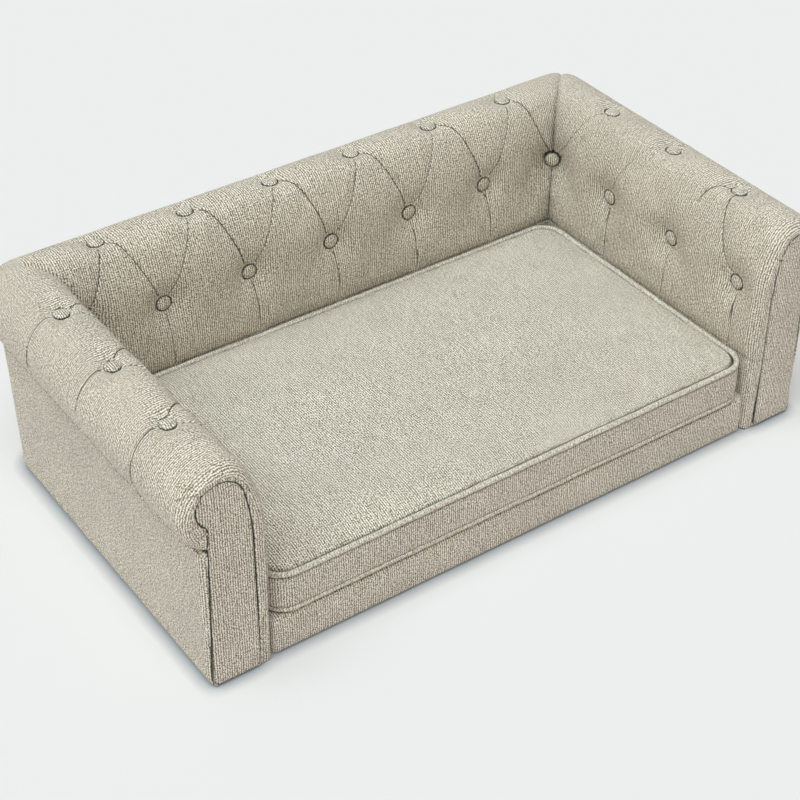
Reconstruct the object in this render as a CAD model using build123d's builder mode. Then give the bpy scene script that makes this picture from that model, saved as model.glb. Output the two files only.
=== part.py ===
from build123d import *

import os
from math import acos, atan2, degrees, sqrt

# A dog sofa bed: a small sofa with rolled arms and a rolled back, both padded and buttoned, on a
# timber frame, with a loose boxed seat cushion. Lengths are in mm. X runs across the sofa, Y to the
# back and Z up. The origin is on the floor, under the middle of the whole sofa.

# Whole sofa
sofa_width = 862
sofa_depth = 486
sofa_height = 281

# Padded walls. Both arms and the back have one outline, measured outward from the middle of the roll
roll_radius = 51
crest_radius = 30  # tighter round on the seat side of the roll
roll_overhang = 21  # the roll stands this far outside the outer panel
wall_thickness = 76  # outer panel to seat face
upright_drop = 40  # the seat face leans back from this far under the middle of the roll
cover_thickness = 16  # fabric with its quilted wadding
outer_cover_thickness = 6
cover_edge_radius = 12  # soft front edge of an arm
seam_gap = 0.2  # between two fabrics that meet in a seam

# Covered buttons and the pleats between them
button_diameter = 22
button_rim = 1.5
button_dome = 3
lower_button_drop = 39  # under the middle of the roll
upper_button_out = 5  # outward from the middle of the roll
back_lower_start = 102.4  # seat face of an arm to the first lower button of the back
back_lower_count = 5  # between the two corner buttons
back_upper_count = 6
arm_button_count = 3
arm_lower_start = 106  # seat face of the back to the first lower button of an arm
arm_lower_end = 43  # last lower button of an arm to the front of its cover
arm_upper_start = 53  # seat face of the back to the first upper button of an arm
lower_dimple_depth = 14
lower_dimple_radius = 30
upper_dimple_depth = 11.5
upper_dimple_radius = 26
corner_dimple_depth = 16
corner_dimple_radius = 20
corner_dimple_height = 20
corner_flank_radius = 120
dimple_floor_gap = 0.6  # round the button at the bottom of its dimple
pleat_width = 3
pleat_depth = 4
pleat_blade_depth = 50
tie_diameter = 1.8
tie_clearance = 0.2
corner_tie_grip = 15  # how far a corner tie runs into the post
washer_diameter = 12
washer_thickness = 2

# Timber frame
frame_underside = 4  # above the floor
board_thickness = 12
front_board_thickness = 12
rail_thickness = 18
deck_thickness = 9
seat_height = 50  # top of the deck
top_rail_width = 20
top_rail_height = 25
post_size = 24
board_end_radius = 10  # rounded outer edge of the boards at the back corners
foam_split_drop = 60  # the slab foam ends and the roll foam begins, under the middle of the roll

# Screws: diameter, length and head of each kind
frame_screw_diameter = 4
frame_screw_length = 28
frame_screw_head = 8
deck_screw_diameter = 3.5
deck_screw_length = 25
deck_screw_head = 7
screw_head_height = 2.5
screw_clearance = 0.1
low_screw_z = 22
high_screw_drop = 13  # under the top of the boards
post_screw_heights = (70, 140)
post_screw_stagger = 12  # screws from the side and from behind cross in the post, this far apart
arm_screw_front_gap = 85  # from the front of the arm's cover
arm_screw_rear_gap = 16  # from the seat face of the back
back_screw_end_gap = 94  # from the seat face of an arm
deck_screw_front_gap = 65  # from the front of the arm's cover
deck_screw_middle_y = -40
deck_screw_rear_gap = 26  # from the seat face of the back
deck_screw_end_gap = 80  # from the middle of an arm's roll
deck_screw_row_shares = (-1, -0.5, 0.5, 1)  # places in a front or rear row, of its half length

# Facings on the front of the arms
facing_thickness = 8
facing_fabric = 2
facing_edge_radius = 3
facing_inner_out = -27
facing_upright_drop = 47  # under the middle of the roll
facing_head_radius = 27
facing_head_out = 7.5
facing_head_rise = 11  # over the middle of the roll
facing_neck_angle = -55
facing_foot_z = 3
pin_diameter = 1.6
pin_length = 15
pin_clearance = 0.1
pin_inset = 14  # from the side edges of the facing
pin_heights = (40, 150)

# Front rail cover, dust cover and glides
cover_foot_z = 2
base_proud = 2  # in front of the arm fronts
base_edge_radius = 5
dust_cover_thickness = 1
dust_cover_inset = 2
glide_diameter = 16
glide_edge_radius = 1
glide_nail_diameter = 2.4
glide_nail_length = 16
glide_nail_clearance = 0.1
glide_front_gap = 55  # from the front of the arm's cover
glide_rear_gap = 42  # from the middle of the back's roll

# Seat cushion
cushion_side_gap = 0.5
cushion_rest_gap = 0.3
cushion_overhang = 4  # in front of the arm fronts
cushion_corner_radius = 28
piping_diameter = 6.5
lower_piping_rise = 6  # over the deck
piping_spacing = 48
panel_thickness = 2
boxing_thickness = 2
boxing_inset = 1.5
crown_rise = 13
crown_run = 120
crown_run_shares = (0, 0.1, 0.38, 1)
crown_rise_shares = (0, 0.42, 0.82, 1)
corner_ease_share = 0.2  # the corner radius shrinks by this share of an inset
foam_gap = 0.3

# Zip in the back of the cushion
zip_length = 450
zip_tape_width = 10
zip_tape_thickness = 1.2
zip_row_width = 2.2
zip_row_thickness = 2.4
zip_centre_gap = 1.6
zip_stop_length = 3
zip_slot_gap = 0.2
slider_length = 10
slider_width = 8
slider_plate_thickness = 1
slider_gap = 0.3
slider_corner_radius = 2
slider_neck_length = 3
slider_relief_gap = 0.3

overrun = 1  # cuts run this far past the surface

# Places worked out from the sizes above
roll_x = sofa_width / 2 - roll_radius
roll_y = sofa_depth / 2 - roll_radius
roll_z = sofa_height - roll_radius
crest_z = sofa_height - crest_radius
panel_out = roll_radius - roll_overhang
face_out = panel_out - wall_thickness
board_out = panel_out - outer_cover_thickness
board_in = board_out - board_thickness
pad_out = face_out + cover_thickness
face_x = roll_x + face_out
face_y = roll_y + face_out
arm_front_y = facing_thickness - sofa_depth / 2
frame_front_y = arm_front_y + front_board_thickness
deck_underside = seat_height - deck_thickness
upright_height = roll_z - upright_drop
foam_split_z = roll_z - foam_split_drop
button_radius = button_diameter / 2

# Sketch planes: X is outward from the middle of the roll and Y is up
arm_plane = Plane(origin=(roll_x, roll_y, 0), x_dir=(1, 0, 0), z_dir=(0, -1, 0))
arm_front_plane = Plane(origin=(roll_x, arm_front_y, 0), x_dir=(1, 0, 0), z_dir=(0, -1, 0))
back_plane = Plane(origin=(-roll_x, roll_y, 0), x_dir=(0, 1, 0), z_dir=(1, 0, 0))
right_corner_axis = Axis((roll_x, roll_y, 0), (0, 0, 1))
left_corner_axis = Axis((-roll_x, roll_y, 0), (0, 0, 1))
mitre_plane = Plane(origin=(roll_x, roll_y, 0), x_dir=(1, 1, 0), z_dir=(1, -1, 0))
left_mitre_plane = Plane(origin=(-roll_x, roll_y, 0), x_dir=(-1, 1, 0), z_dir=(-1, -1, 0))
arm_length = roll_y - arm_front_y
back_length = 2 * roll_x

os.makedirs("parts", exist_ok=True)


def save(piece, node):
    """Label a finished piece and write it under its node's name"""
    piece.part.label = node
    export_step(piece.part, f"parts/{node}.step")


def save_pair(right_piece, name):
    """Write a piece of the right-hand side, and its mirror image on the left"""
    save(right_piece, f"right_{name}")
    with BuildPart() as left_piece:
        mirror(right_piece.part, about=Plane.YZ)
    save(left_piece, f"left_{name}")


def lean_radius_of(across, rise, round_radius):
    """Radius of the arc that leaves an upright line and runs smoothly into a round"""
    return (across**2 + rise**2 - round_radius**2) / (2 * (across - round_radius))


lean_radius = lean_radius_of(-face_out, crest_z - upright_height, crest_radius)
lean_angle = degrees(atan2(crest_z - upright_height, face_out + lean_radius))


def wall_curve(depth, low_z):
    """One side of a padded wall at a depth under its fabric: up the seat face, over and under the roll"""
    under_angle = degrees(acos(board_out / (roll_radius - depth)))
    face = Line((face_out + depth, low_z), (face_out + depth, upright_height))
    CenterArc((face_out + lean_radius, upright_height), lean_radius - depth, 180, -lean_angle)
    CenterArc((0, crest_z), crest_radius - depth, 180 - lean_angle, lean_angle - 90)
    roll = CenterArc((0, roll_z), roll_radius - depth, 90, -90 - under_angle)
    return face @ 0, roll @ 1


def roll_curve(depth):
    """The outer half of the roll at a depth under its fabric, from its top to the board under it"""
    under_angle = degrees(acos(board_out / (roll_radius - depth)))
    roll = CenterArc((0, roll_z), roll_radius - depth, 90, -90 - under_angle)
    return roll @ 0, roll @ 1


def wall_strip(plane, near_depth, far_depth):
    """Section of a padded layer of a wall, between two depths"""
    with BuildSketch(plane) as strip:
        with BuildLine():
            near_foot, near_end = wall_curve(near_depth, seat_height)
            far_foot, far_end = wall_curve(far_depth, seat_height)
            Line(near_foot, far_foot)
            Line(near_end, far_end)
        make_face()
    return strip.sketch


def roll_strip(plane, near_depth, far_depth):
    """The part of that section that turns with the roll round a back corner"""
    with BuildSketch(plane) as strip:
        with BuildLine():
            near_top, near_end = roll_curve(near_depth)
            far_top, far_end = roll_curve(far_depth)
            Line(near_top, far_top)
            Line(near_end, far_end)
        make_face()
    return strip.sketch


def roll_surface_z(out):
    """Height of the roll's surface at a distance outward from its middle"""
    return roll_z + sqrt(roll_radius**2 - out**2)


# Where the buttons are. Each row holds the places along its wall
back_button_pitch = 2 * (face_x - back_lower_start) / (back_lower_count - 1)
arm_lower_run = face_y - arm_lower_start - arm_front_y - arm_lower_end
arm_button_pitch = arm_lower_run / (arm_button_count - 1)
lower_button_z = roll_z - lower_button_drop
back_lower_places = [
    (index - (back_lower_count - 1) / 2) * back_button_pitch for index in range(back_lower_count)
]
back_upper_places = [
    (index - (back_upper_count - 1) / 2) * back_button_pitch for index in range(back_upper_count)
]
arm_lower_places = [face_y - arm_lower_start - index * arm_button_pitch for index in range(arm_button_count)]
arm_upper_places = [face_y - arm_upper_start - index * arm_button_pitch for index in range(arm_button_count)]
upper_button_z = roll_surface_z(upper_button_out)

# Button planes: the origin is on the plain surface and Z points out of it
back_lower_planes = [
    Plane(origin=(x, face_y, lower_button_z), x_dir=(1, 0, 0), z_dir=(0, -1, 0)) for x in back_lower_places
]
back_upper_planes = [Plane(origin=(x, roll_y + upper_button_out, upper_button_z)) for x in back_upper_places]
arm_lower_planes = [
    Plane(origin=(face_x, y, lower_button_z), x_dir=(0, 1, 0), z_dir=(-1, 0, 0)) for y in arm_lower_places
]
arm_upper_planes = [Plane(origin=(roll_x + upper_button_out, y, upper_button_z)) for y in arm_upper_places]
right_corner_plane = Plane(origin=(face_x, face_y, lower_button_z), x_dir=(-1, 1, 0), z_dir=(-1, -1, 0))
left_corner_plane = Plane(origin=(-face_x, face_y, lower_button_z), x_dir=(1, 1, 0), z_dir=(1, -1, 0))


def radial_plane(plane):
    """The plane through a button's axis, with that axis as its Y, for a revolved profile"""
    return Plane(origin=plane.origin, x_dir=plane.x_dir, z_dir=-plane.y_dir)


def button_axis(plane):
    return Axis(plane.origin, plane.z_dir)


def add_button(plane, depth):
    """A covered button with its shank, seated at the bottom of its dimple"""
    crown_radius = (button_radius**2 + button_dome**2) / (2 * button_dome)
    with BuildSketch(radial_plane(plane.offset(-depth))) as profile:
        with BuildLine():
            Line((0, 0), (button_radius, 0))
            Line((button_radius, 0), (button_radius, button_rim))
            RadiusArc((button_radius, button_rim), (0, button_rim + button_dome), -crown_radius)
            Line((0, button_rim + button_dome), (0, 0))
        make_face()
    revolve(profile.sketch, axis=button_axis(plane))


def flank_radius_of(radius, depth):
    """Radius of the soft flank that rises from a button's seat and levels out at the surface"""
    run = radius - button_radius - dimple_floor_gap
    drop = depth + overrun
    return (run**2 + drop**2) / (2 * drop)


def add_dimple(plane, depth, mouth_radius, mouth_height, flank_radius):
    """The hollow over a button, from its seat up to its mouth"""
    seat_radius = button_radius + dimple_floor_gap
    with BuildSketch(radial_plane(plane)) as profile:
        with BuildLine():
            Line((0, -depth), (seat_radius, -depth))
            RadiusArc((seat_radius, -depth), (mouth_radius, mouth_height), flank_radius)
            Line((mouth_radius, mouth_height), (0, mouth_height))
            Line((0, mouth_height), (0, -depth))
        make_face()
    revolve(profile.sketch, axis=button_axis(plane))


def add_tie(plane, near_depth, far_depth, diameter):
    """A straight tie along a button's axis, or the hole for one"""
    with BuildSketch(plane.offset(-near_depth)) as section:
        Circle(diameter / 2)
    extrude(section.sketch, amount=near_depth - far_depth)


def add_blade(start, end, outward, depth):
    """Thin blade through two places on a wall, for one sewn pleat"""
    along = end - start
    with BuildSketch(Plane(origin=(start + end) / 2, x_dir=along, z_dir=along.cross(outward))) as blade:
        Rectangle(along.length, depth)
    extrude(blade.sketch, amount=pleat_width / 2, both=True)


def add_block(near, far, mode=Mode.ADD):
    """A block between its lowest and its highest corner"""
    near = Vector(near)
    far = Vector(far)
    with BuildSketch(Plane.XY.offset(near.Z)) as foot:
        with Locations(((near.X + far.X) / 2, (near.Y + far.Y) / 2)):
            Rectangle(far.X - near.X, far.Y - near.Y)
    extrude(foot.sketch, amount=far.Z - near.Z, mode=mode)


def add_screw(plane, diameter, length, head_diameter, growth):
    """A countersunk screw driven down from a plane, or its hole where it is grown by a clearance"""
    radius = diameter / 2 + growth
    head_radius = head_diameter / 2 + growth
    with BuildSketch(radial_plane(plane)) as profile:
        with BuildLine():
            Polyline(
                (0, 0),
                (head_radius, 0),
                (radius, -screw_head_height),
                (radius, -length - growth),
                (0, -length - growth),
                close=True,
            )
        make_face()
    revolve(profile.sketch, axis=button_axis(plane))


def zigzag(lower, upper):
    """Lower and upper button places in turn, starting with a lower one"""
    path = []
    for low, high in zip(lower, upper):
        path += [low, high]
    return path + lower[len(upper) :]


# Timber frame: places shared by the rails, the screws and the glides
post_in = board_in - post_size
top_rail_in = board_in - top_rail_width
top_rail_z = roll_z - top_rail_height
side_rail_x = roll_x + board_in - rail_thickness / 2
front_rail_y = frame_front_y + rail_thickness / 2
rear_rail_y = roll_y + board_in - rail_thickness / 2
high_screw_z = roll_z - high_screw_drop
arm_screw_places = (arm_front_y + arm_screw_front_gap, 0, face_y - arm_screw_rear_gap)
back_screw_places = (back_screw_end_gap - face_x, 0, face_x - back_screw_end_gap)
deck_screw_front_y = arm_front_y + deck_screw_front_gap
deck_screw_side_places = (deck_screw_front_y, deck_screw_middle_y, face_y - deck_screw_rear_gap)
deck_screw_row_places = [share * (roll_x - deck_screw_end_gap) for share in deck_screw_row_shares]
post_screw_x = roll_x - frame_screw_head / 2
post_screw_y = roll_y - frame_screw_head / 2

# Every screw is a plane at its head, pointing out of the wood
frame_screw_planes = []
for side in (-1, 1):
    outer_x = side * (roll_x + board_out)
    for y in arm_screw_places:
        for z in (low_screw_z, high_screw_z):
            frame_screw_planes.append(Plane(origin=(outer_x, y, z), x_dir=(0, 1, 0), z_dir=(side, 0, 0)))
    for z in post_screw_heights:
        rear_origin = (side * post_screw_x, roll_y + board_out, z + post_screw_stagger)
        outer_origin = (outer_x, post_screw_y, z)
        frame_screw_planes.append(Plane(origin=outer_origin, x_dir=(0, 1, 0), z_dir=(side, 0, 0)))
        frame_screw_planes.append(Plane(origin=rear_origin, x_dir=(1, 0, 0), z_dir=(0, 1, 0)))
    front_origin = (side * roll_x, arm_front_y, low_screw_z)
    frame_screw_planes.append(Plane(origin=front_origin, x_dir=(1, 0, 0), z_dir=(0, -1, 0)))
for x in back_screw_places:
    for z in (low_screw_z, high_screw_z):
        rear_origin = (x, roll_y + board_out, z)
        frame_screw_planes.append(Plane(origin=rear_origin, x_dir=(1, 0, 0), z_dir=(0, 1, 0)))

deck_screw_places = [(side * side_rail_x, y) for side in (-1, 1) for y in deck_screw_side_places]
deck_screw_places += [(x, y) for x in deck_screw_row_places for y in (front_rail_y, rear_rail_y)]
deck_screw_places += [(0, y) for y in deck_screw_side_places]
deck_screw_planes = [Plane(origin=(x, y, seat_height)) for x, y in deck_screw_places]

with BuildPart() as frame_screws:
    for plane in frame_screw_planes:
        add_screw(plane, frame_screw_diameter, frame_screw_length, frame_screw_head, 0)

with BuildPart() as frame_screw_holes:
    for plane in frame_screw_planes:
        add_screw(plane, frame_screw_diameter, frame_screw_length, frame_screw_head, screw_clearance)

with BuildPart() as deck_screws:
    for plane in deck_screw_planes:
        add_screw(plane, deck_screw_diameter, deck_screw_length, deck_screw_head, 0)

with BuildPart() as deck_screw_holes:
    for plane in deck_screw_planes:
        add_screw(plane, deck_screw_diameter, deck_screw_length, deck_screw_head, screw_clearance)

# Glides: a disc on a nail, through the dust cover into a rail
glide_top = frame_underside - dust_cover_thickness
glide_side_places = (arm_front_y + glide_front_gap, roll_y - glide_rear_gap)
glide_places = [(side * side_rail_x, y) for side in (-1, 1) for y in glide_side_places]
glide_places += [(0, front_rail_y), (0, rear_rail_y)]

with BuildPart() as floor_glides:
    with BuildSketch():
        with Locations(*glide_places):
            Circle(glide_diameter / 2)
    extrude(amount=glide_top)
    fillet(floor_glides.faces().group_by(Axis.Z)[0].edges(), glide_edge_radius)
    with BuildSketch(Plane.XY.offset(glide_top)):
        with Locations(*glide_places):
            Circle(glide_nail_diameter / 2)
    extrude(amount=glide_nail_length)

with BuildPart() as glide_nail_holes:
    with BuildSketch(Plane.XY.offset(glide_top)):
        with Locations(*glide_places):
            Circle(glide_nail_diameter / 2 + glide_nail_clearance)
    extrude(amount=glide_nail_length + glide_nail_clearance)

with BuildPart() as dust_cover:
    add_block(
        (dust_cover_inset - roll_x - board_out, frame_front_y + dust_cover_inset, glide_top),
        (roll_x + board_out - dust_cover_inset, roll_y + board_out - dust_cover_inset, frame_underside),
    )
    fillet(dust_cover.edges().filter_by(Axis.Z).group_by(Axis.Y)[-1], board_out - dust_cover_inset)
    add(glide_nail_holes.part, mode=Mode.SUBTRACT)

# Ties pull the buttons down. A lower one ends at a washer behind the board, an upper one at a
# washer under the top rail and a corner one in the post
lower_tie_end = board_out - face_out
upper_tie_end = upper_button_z - top_rail_z
corner_tie_end = (post_in - face_out) * sqrt(2) + corner_tie_grip
tie_hole_diameter = tie_diameter + 2 * tie_clearance
washer_socket_diameter = washer_diameter + 2 * tie_clearance


def add_washer(end, diameter, bore):
    """A tie's washer, let into the wood behind it, or its socket where the bore is zero"""
    with BuildSketch(end) as washer:
        Circle(diameter / 2)
        if bore > 0:
            Circle(bore / 2, mode=Mode.SUBTRACT)
    extrude(washer.sketch, amount=washer_thickness)


def add_ties(lower_planes, upper_planes, corner_planes):
    """The ties of some buttons, from the seats of the buttons"""
    for plane in lower_planes:
        add_tie(plane, lower_dimple_depth, lower_tie_end, tie_diameter)
    for plane in upper_planes:
        add_tie(plane, upper_dimple_depth, upper_tie_end, tie_diameter)
    for plane in corner_planes:
        add_tie(plane, corner_dimple_depth, corner_tie_end, tie_diameter)


def add_washers(lower_planes, upper_planes, diameter, bore):
    """The washers of some ties, or the sockets for them"""
    for plane in lower_planes:
        add_washer(plane.offset(-lower_tie_end), diameter, bore)
    for plane in upper_planes:
        add_washer(plane.offset(-upper_tie_end), diameter, bore)


def add_tie_holes(lower_planes, upper_planes, corner_planes):
    """Holes for ties through all that they pass, with their washers' sockets"""
    for plane in lower_planes:
        add_tie(plane, 0, lower_tie_end, tie_hole_diameter)
    for plane in upper_planes:
        add_tie(plane, 0, upper_tie_end, tie_hole_diameter)
    for plane in corner_planes:
        add_tie(plane, 0, corner_tie_end, tie_hole_diameter)
    add_washers(lower_planes, upper_planes, washer_socket_diameter, 0)


with BuildPart() as arm_tie_holes:
    add_tie_holes(arm_lower_planes, arm_upper_planes, [right_corner_plane])

with BuildPart() as back_tie_holes:
    add_tie_holes(back_lower_planes, back_upper_planes, [left_corner_plane, right_corner_plane])

with BuildPart() as right_arm_ties:
    add_ties(arm_lower_planes, arm_upper_planes, [right_corner_plane])

with BuildPart() as button_ties:
    add_ties(back_lower_planes, back_upper_planes, [])
    add(right_arm_ties.part)
    mirror(right_arm_ties.part, about=Plane.YZ)

with BuildPart() as right_arm_washers:
    add_washers(arm_lower_planes, arm_upper_planes, washer_diameter, tie_hole_diameter)

with BuildPart() as tie_washers:
    add_washers(back_lower_planes, back_upper_planes, washer_diameter, tie_hole_diameter)
    add(right_arm_washers.part)
    mirror(right_arm_washers.part, about=Plane.YZ)

with BuildPart() as right_arm_board:
    add_block(
        (roll_x + board_in, frame_front_y, frame_underside),
        (roll_x + board_out, roll_y + board_end_radius, roll_z),
    )
    upright_edges = right_arm_board.edges().filter_by(Axis.Z)
    fillet(upright_edges.sort_by(lambda edge: edge.center().X + edge.center().Y)[-1], board_end_radius)
    add(frame_screw_holes.part, mode=Mode.SUBTRACT)
    add(arm_tie_holes.part, mode=Mode.SUBTRACT)

with BuildPart() as back_board:
    add_block(
        (-roll_x - board_end_radius, roll_y + board_in, frame_underside),
        (roll_x + board_end_radius, roll_y + board_out, roll_z),
    )
    fillet(back_board.edges().filter_by(Axis.Z).group_by(Axis.Y)[-1], board_end_radius)
    add(frame_screw_holes.part, mode=Mode.SUBTRACT)
    add(back_tie_holes.part, mode=Mode.SUBTRACT)

with BuildPart() as right_corner_post:
    add_block(
        (roll_x + post_in, roll_y + post_in, frame_underside),
        (roll_x + board_in, roll_y + board_in, roll_z),
    )
    add(frame_screw_holes.part, mode=Mode.SUBTRACT)
    add(arm_tie_holes.part, mode=Mode.SUBTRACT)

with BuildPart() as post_space:
    add_block(
        (roll_x + post_in, roll_y + post_in, frame_underside),
        (roll_x + board_in, roll_y + board_in, roll_z),
    )
    mirror(about=Plane.YZ)

with BuildPart() as right_top_rail:
    add_block(
        (roll_x + top_rail_in, frame_front_y, top_rail_z),
        (roll_x + board_in, roll_y + post_in, roll_z),
    )
    add(frame_screw_holes.part, mode=Mode.SUBTRACT)
    add(arm_tie_holes.part, mode=Mode.SUBTRACT)

with BuildPart() as back_top_rail:
    add_block(
        (-roll_x - post_in, roll_y + top_rail_in, top_rail_z),
        (roll_x + post_in, roll_y + board_in, roll_z),
    )
    add(frame_screw_holes.part, mode=Mode.SUBTRACT)
    add(back_tie_holes.part, mode=Mode.SUBTRACT)


def cut_rail_holes():
    """Screw and nail holes of the rails under the deck"""
    add(frame_screw_holes.part, mode=Mode.SUBTRACT)
    add(deck_screw_holes.part, mode=Mode.SUBTRACT)
    add(glide_nail_holes.part, mode=Mode.SUBTRACT)


with BuildPart() as front_rail:
    add_block(
        (-roll_x - board_in, frame_front_y, frame_underside),
        (roll_x + board_in, frame_front_y + rail_thickness, deck_underside),
    )
    cut_rail_holes()

with BuildPart() as rear_rail:
    add_block(
        (-roll_x - post_in, roll_y + board_in - rail_thickness, frame_underside),
        (roll_x + post_in, roll_y + board_in, deck_underside),
    )
    cut_rail_holes()

with BuildPart() as right_side_rail:
    add_block(
        (roll_x + board_in - rail_thickness, frame_front_y + rail_thickness, frame_underside),
        (roll_x + board_in, roll_y + post_in, deck_underside),
    )
    cut_rail_holes()

with BuildPart() as centre_rail:
    add_block(
        (-rail_thickness / 2, frame_front_y + rail_thickness, frame_underside),
        (rail_thickness / 2, roll_y + board_in - rail_thickness, deck_underside),
    )
    cut_rail_holes()

with BuildPart() as seat_deck:
    add_block(
        (-roll_x - board_in, frame_front_y, deck_underside),
        (roll_x + board_in, roll_y + board_in, seat_height),
    )
    add(post_space.part, mode=Mode.SUBTRACT)
    add(deck_screw_holes.part, mode=Mode.SUBTRACT)

# Front board of an arm, inside its cover, and the shaped facing pinned to it
facing_upright_height = roll_z - facing_upright_drop
facing_head_z = roll_z + facing_head_rise
facing_lean_rise = facing_head_z - facing_upright_height
facing_lean_radius = lean_radius_of(facing_head_out - facing_inner_out, facing_lean_rise, facing_head_radius)
facing_lean_run = facing_inner_out + facing_lean_radius - facing_head_out
facing_lean_angle = degrees(atan2(facing_lean_rise, facing_lean_run))


def facing_face(inset):
    """The scroll outline of a facing, drawn in by an inset"""
    with BuildSketch(arm_front_plane) as outline:
        with BuildLine():
            upright = Line((facing_inner_out, facing_foot_z), (facing_inner_out, facing_upright_height))
            lean_centre = (facing_inner_out + facing_lean_radius, facing_upright_height)
            CenterArc(lean_centre, facing_lean_radius, 180, -facing_lean_angle)
            head_centre = (facing_head_out, facing_head_z)
            head_turn = facing_neck_angle - 180 + facing_lean_angle
            head = CenterArc(head_centre, facing_head_radius, 180 - facing_lean_angle, head_turn)
            Polyline(head @ 1, (panel_out, facing_foot_z), upright @ 0)
        make_face()
        if inset > 0:
            offset(amount=-inset, kind=Kind.INTERSECTION, mode=Mode.REPLACE)
    return outline.sketch


facing_pin_y = arm_front_y - facing_thickness + facing_fabric
facing_pin_planes = [
    Plane(origin=(roll_x + out, facing_pin_y, z), x_dir=(1, 0, 0), z_dir=(0, -1, 0))
    for out in (facing_inner_out + pin_inset, panel_out - pin_inset)
    for z in pin_heights
]

with BuildPart() as right_facing_pins:
    for plane in facing_pin_planes:
        add_tie(plane, 0, pin_length, pin_diameter)

with BuildPart() as right_pin_holes:
    for plane in facing_pin_planes:
        add_tie(plane, 0, pin_length + pin_clearance, pin_diameter + 2 * pin_clearance)

with BuildPart() as facing_pins:
    add(right_facing_pins.part)
    mirror(right_facing_pins.part, about=Plane.YZ)

with BuildPart() as right_facing_board:
    extrude(facing_face(facing_fabric), amount=facing_thickness - facing_fabric)
    add(right_pin_holes.part, mode=Mode.SUBTRACT)

with BuildPart() as right_facing_cover:
    extrude(facing_face(0), amount=facing_thickness)
    fillet(right_facing_cover.faces().sort_by(Axis.Y)[0].edges(), facing_edge_radius)
    extrude(facing_face(facing_fabric), amount=facing_thickness - facing_fabric, mode=Mode.SUBTRACT)

with BuildPart() as right_front_board:
    with BuildSketch(arm_front_plane) as front_board_face:
        with BuildLine():
            foot, end = wall_curve(cover_thickness, frame_underside)
            Polyline(end, (board_out, frame_underside), foot)
        make_face()
    extrude(front_board_face.sketch, amount=-front_board_thickness)
    add(frame_screw_holes.part, mode=Mode.SUBTRACT)
    add(right_pin_holes.part, mode=Mode.SUBTRACT)


# Foam of the walls: a slab up the seat face, and a roll round the board and its top rail
def roll_foam_face(plane):
    with BuildSketch(plane) as section:
        with BuildLine():
            foot, end = wall_curve(cover_thickness, foam_split_z)
            Polyline(
                end,
                (board_out, roll_z),
                (top_rail_in, roll_z),
                (top_rail_in, top_rail_z),
                (board_in, top_rail_z),
                (board_in, foam_split_z),
                foot,
            )
        make_face()
    return section.sketch


def corner_foam_face(plane):
    """The outer part of the roll foam, which turns round a back corner"""
    with BuildSketch(plane) as section:
        with BuildLine():
            top, end = roll_curve(cover_thickness)
            Polyline(end, (board_out, roll_z), (0, roll_z), top)
        make_face()
    return section.sketch


with BuildPart() as corner_dimple:
    add_dimple(
        right_corner_plane,
        corner_dimple_depth,
        corner_dimple_radius,
        corner_dimple_height,
        corner_flank_radius,
    )

with BuildPart() as both_corner_dimples:
    add(corner_dimple.part)
    mirror(corner_dimple.part, about=Plane.YZ)

with BuildPart() as right_arm_foam:
    add_block((roll_x + pad_out, frame_front_y, seat_height), (roll_x + board_in, roll_y, foam_split_z))
    split(bisect_by=mitre_plane, keep=Keep.TOP)
    add(post_space.part, mode=Mode.SUBTRACT)

with BuildPart() as back_foam:
    add_block((-roll_x, roll_y + pad_out, seat_height), (roll_x, roll_y + board_in, foam_split_z))
    split(bisect_by=mitre_plane, keep=Keep.BOTTOM)
    split(bisect_by=left_mitre_plane, keep=Keep.BOTTOM)
    add(post_space.part, mode=Mode.SUBTRACT)

with BuildPart() as right_roll_foam:
    extrude(roll_foam_face(arm_plane), amount=roll_y - frame_front_y)
    revolve(corner_foam_face(arm_plane), axis=right_corner_axis, revolution_arc=90)
    split(bisect_by=mitre_plane, keep=Keep.TOP)
    add(post_space.part, mode=Mode.SUBTRACT)
    add(corner_dimple.part, mode=Mode.SUBTRACT)
    add(arm_tie_holes.part, mode=Mode.SUBTRACT)

with BuildPart() as back_roll_foam:
    extrude(roll_foam_face(back_plane), amount=back_length)
    revolve(corner_foam_face(back_plane), axis=left_corner_axis, revolution_arc=90)
    revolve(corner_foam_face(arm_plane), axis=right_corner_axis, revolution_arc=90)
    split(bisect_by=mitre_plane, keep=Keep.BOTTOM)
    split(bisect_by=left_mitre_plane, keep=Keep.BOTTOM)
    add(post_space.part, mode=Mode.SUBTRACT)
    add(both_corner_dimples.part, mode=Mode.SUBTRACT)
    add(back_tie_holes.part, mode=Mode.SUBTRACT)

# Pleats are sewn along thin blades and reach only a little way under the surface
arm_lower_points = [right_corner_plane.origin] + [plane.origin for plane in arm_lower_planes]
arm_upper_points = [plane.origin for plane in arm_upper_planes]
back_lower_points = [left_corner_plane.origin]
back_lower_points += [plane.origin for plane in back_lower_planes]
back_lower_points += [right_corner_plane.origin]
back_upper_points = [plane.origin for plane in back_upper_planes]
pleat_foot_z = seat_height - overrun
roll_pleat_depth = 2 * (roll_radius + overrun)


def add_pleats(lower_points, upper_points, foot_points, outward):
    """Blades between the buttons of a wall, down from the lower ones and over the roll"""
    path = zigzag(lower_points, upper_points)
    for start, end in zip(path, path[1:]):
        add_blade(start, end, -outward, pleat_blade_depth)
    for point in foot_points:
        add_blade(point, Vector(point.X, point.Y, pleat_foot_z), outward, pleat_blade_depth)
    for point in upper_points:
        near = Vector(point.X, point.Y, roll_z)
        far = near + outward * (roll_radius + overrun - upper_button_out)
        add_blade(near, far, Vector(0, 0, 1), roll_pleat_depth)


with BuildPart() as arm_pleats:
    add_pleats(arm_lower_points, arm_upper_points, arm_lower_points[1:], Vector(1, 0, 0))
    extrude(wall_strip(arm_plane, -overrun, pleat_depth), amount=arm_length, mode=Mode.INTERSECT)

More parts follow.
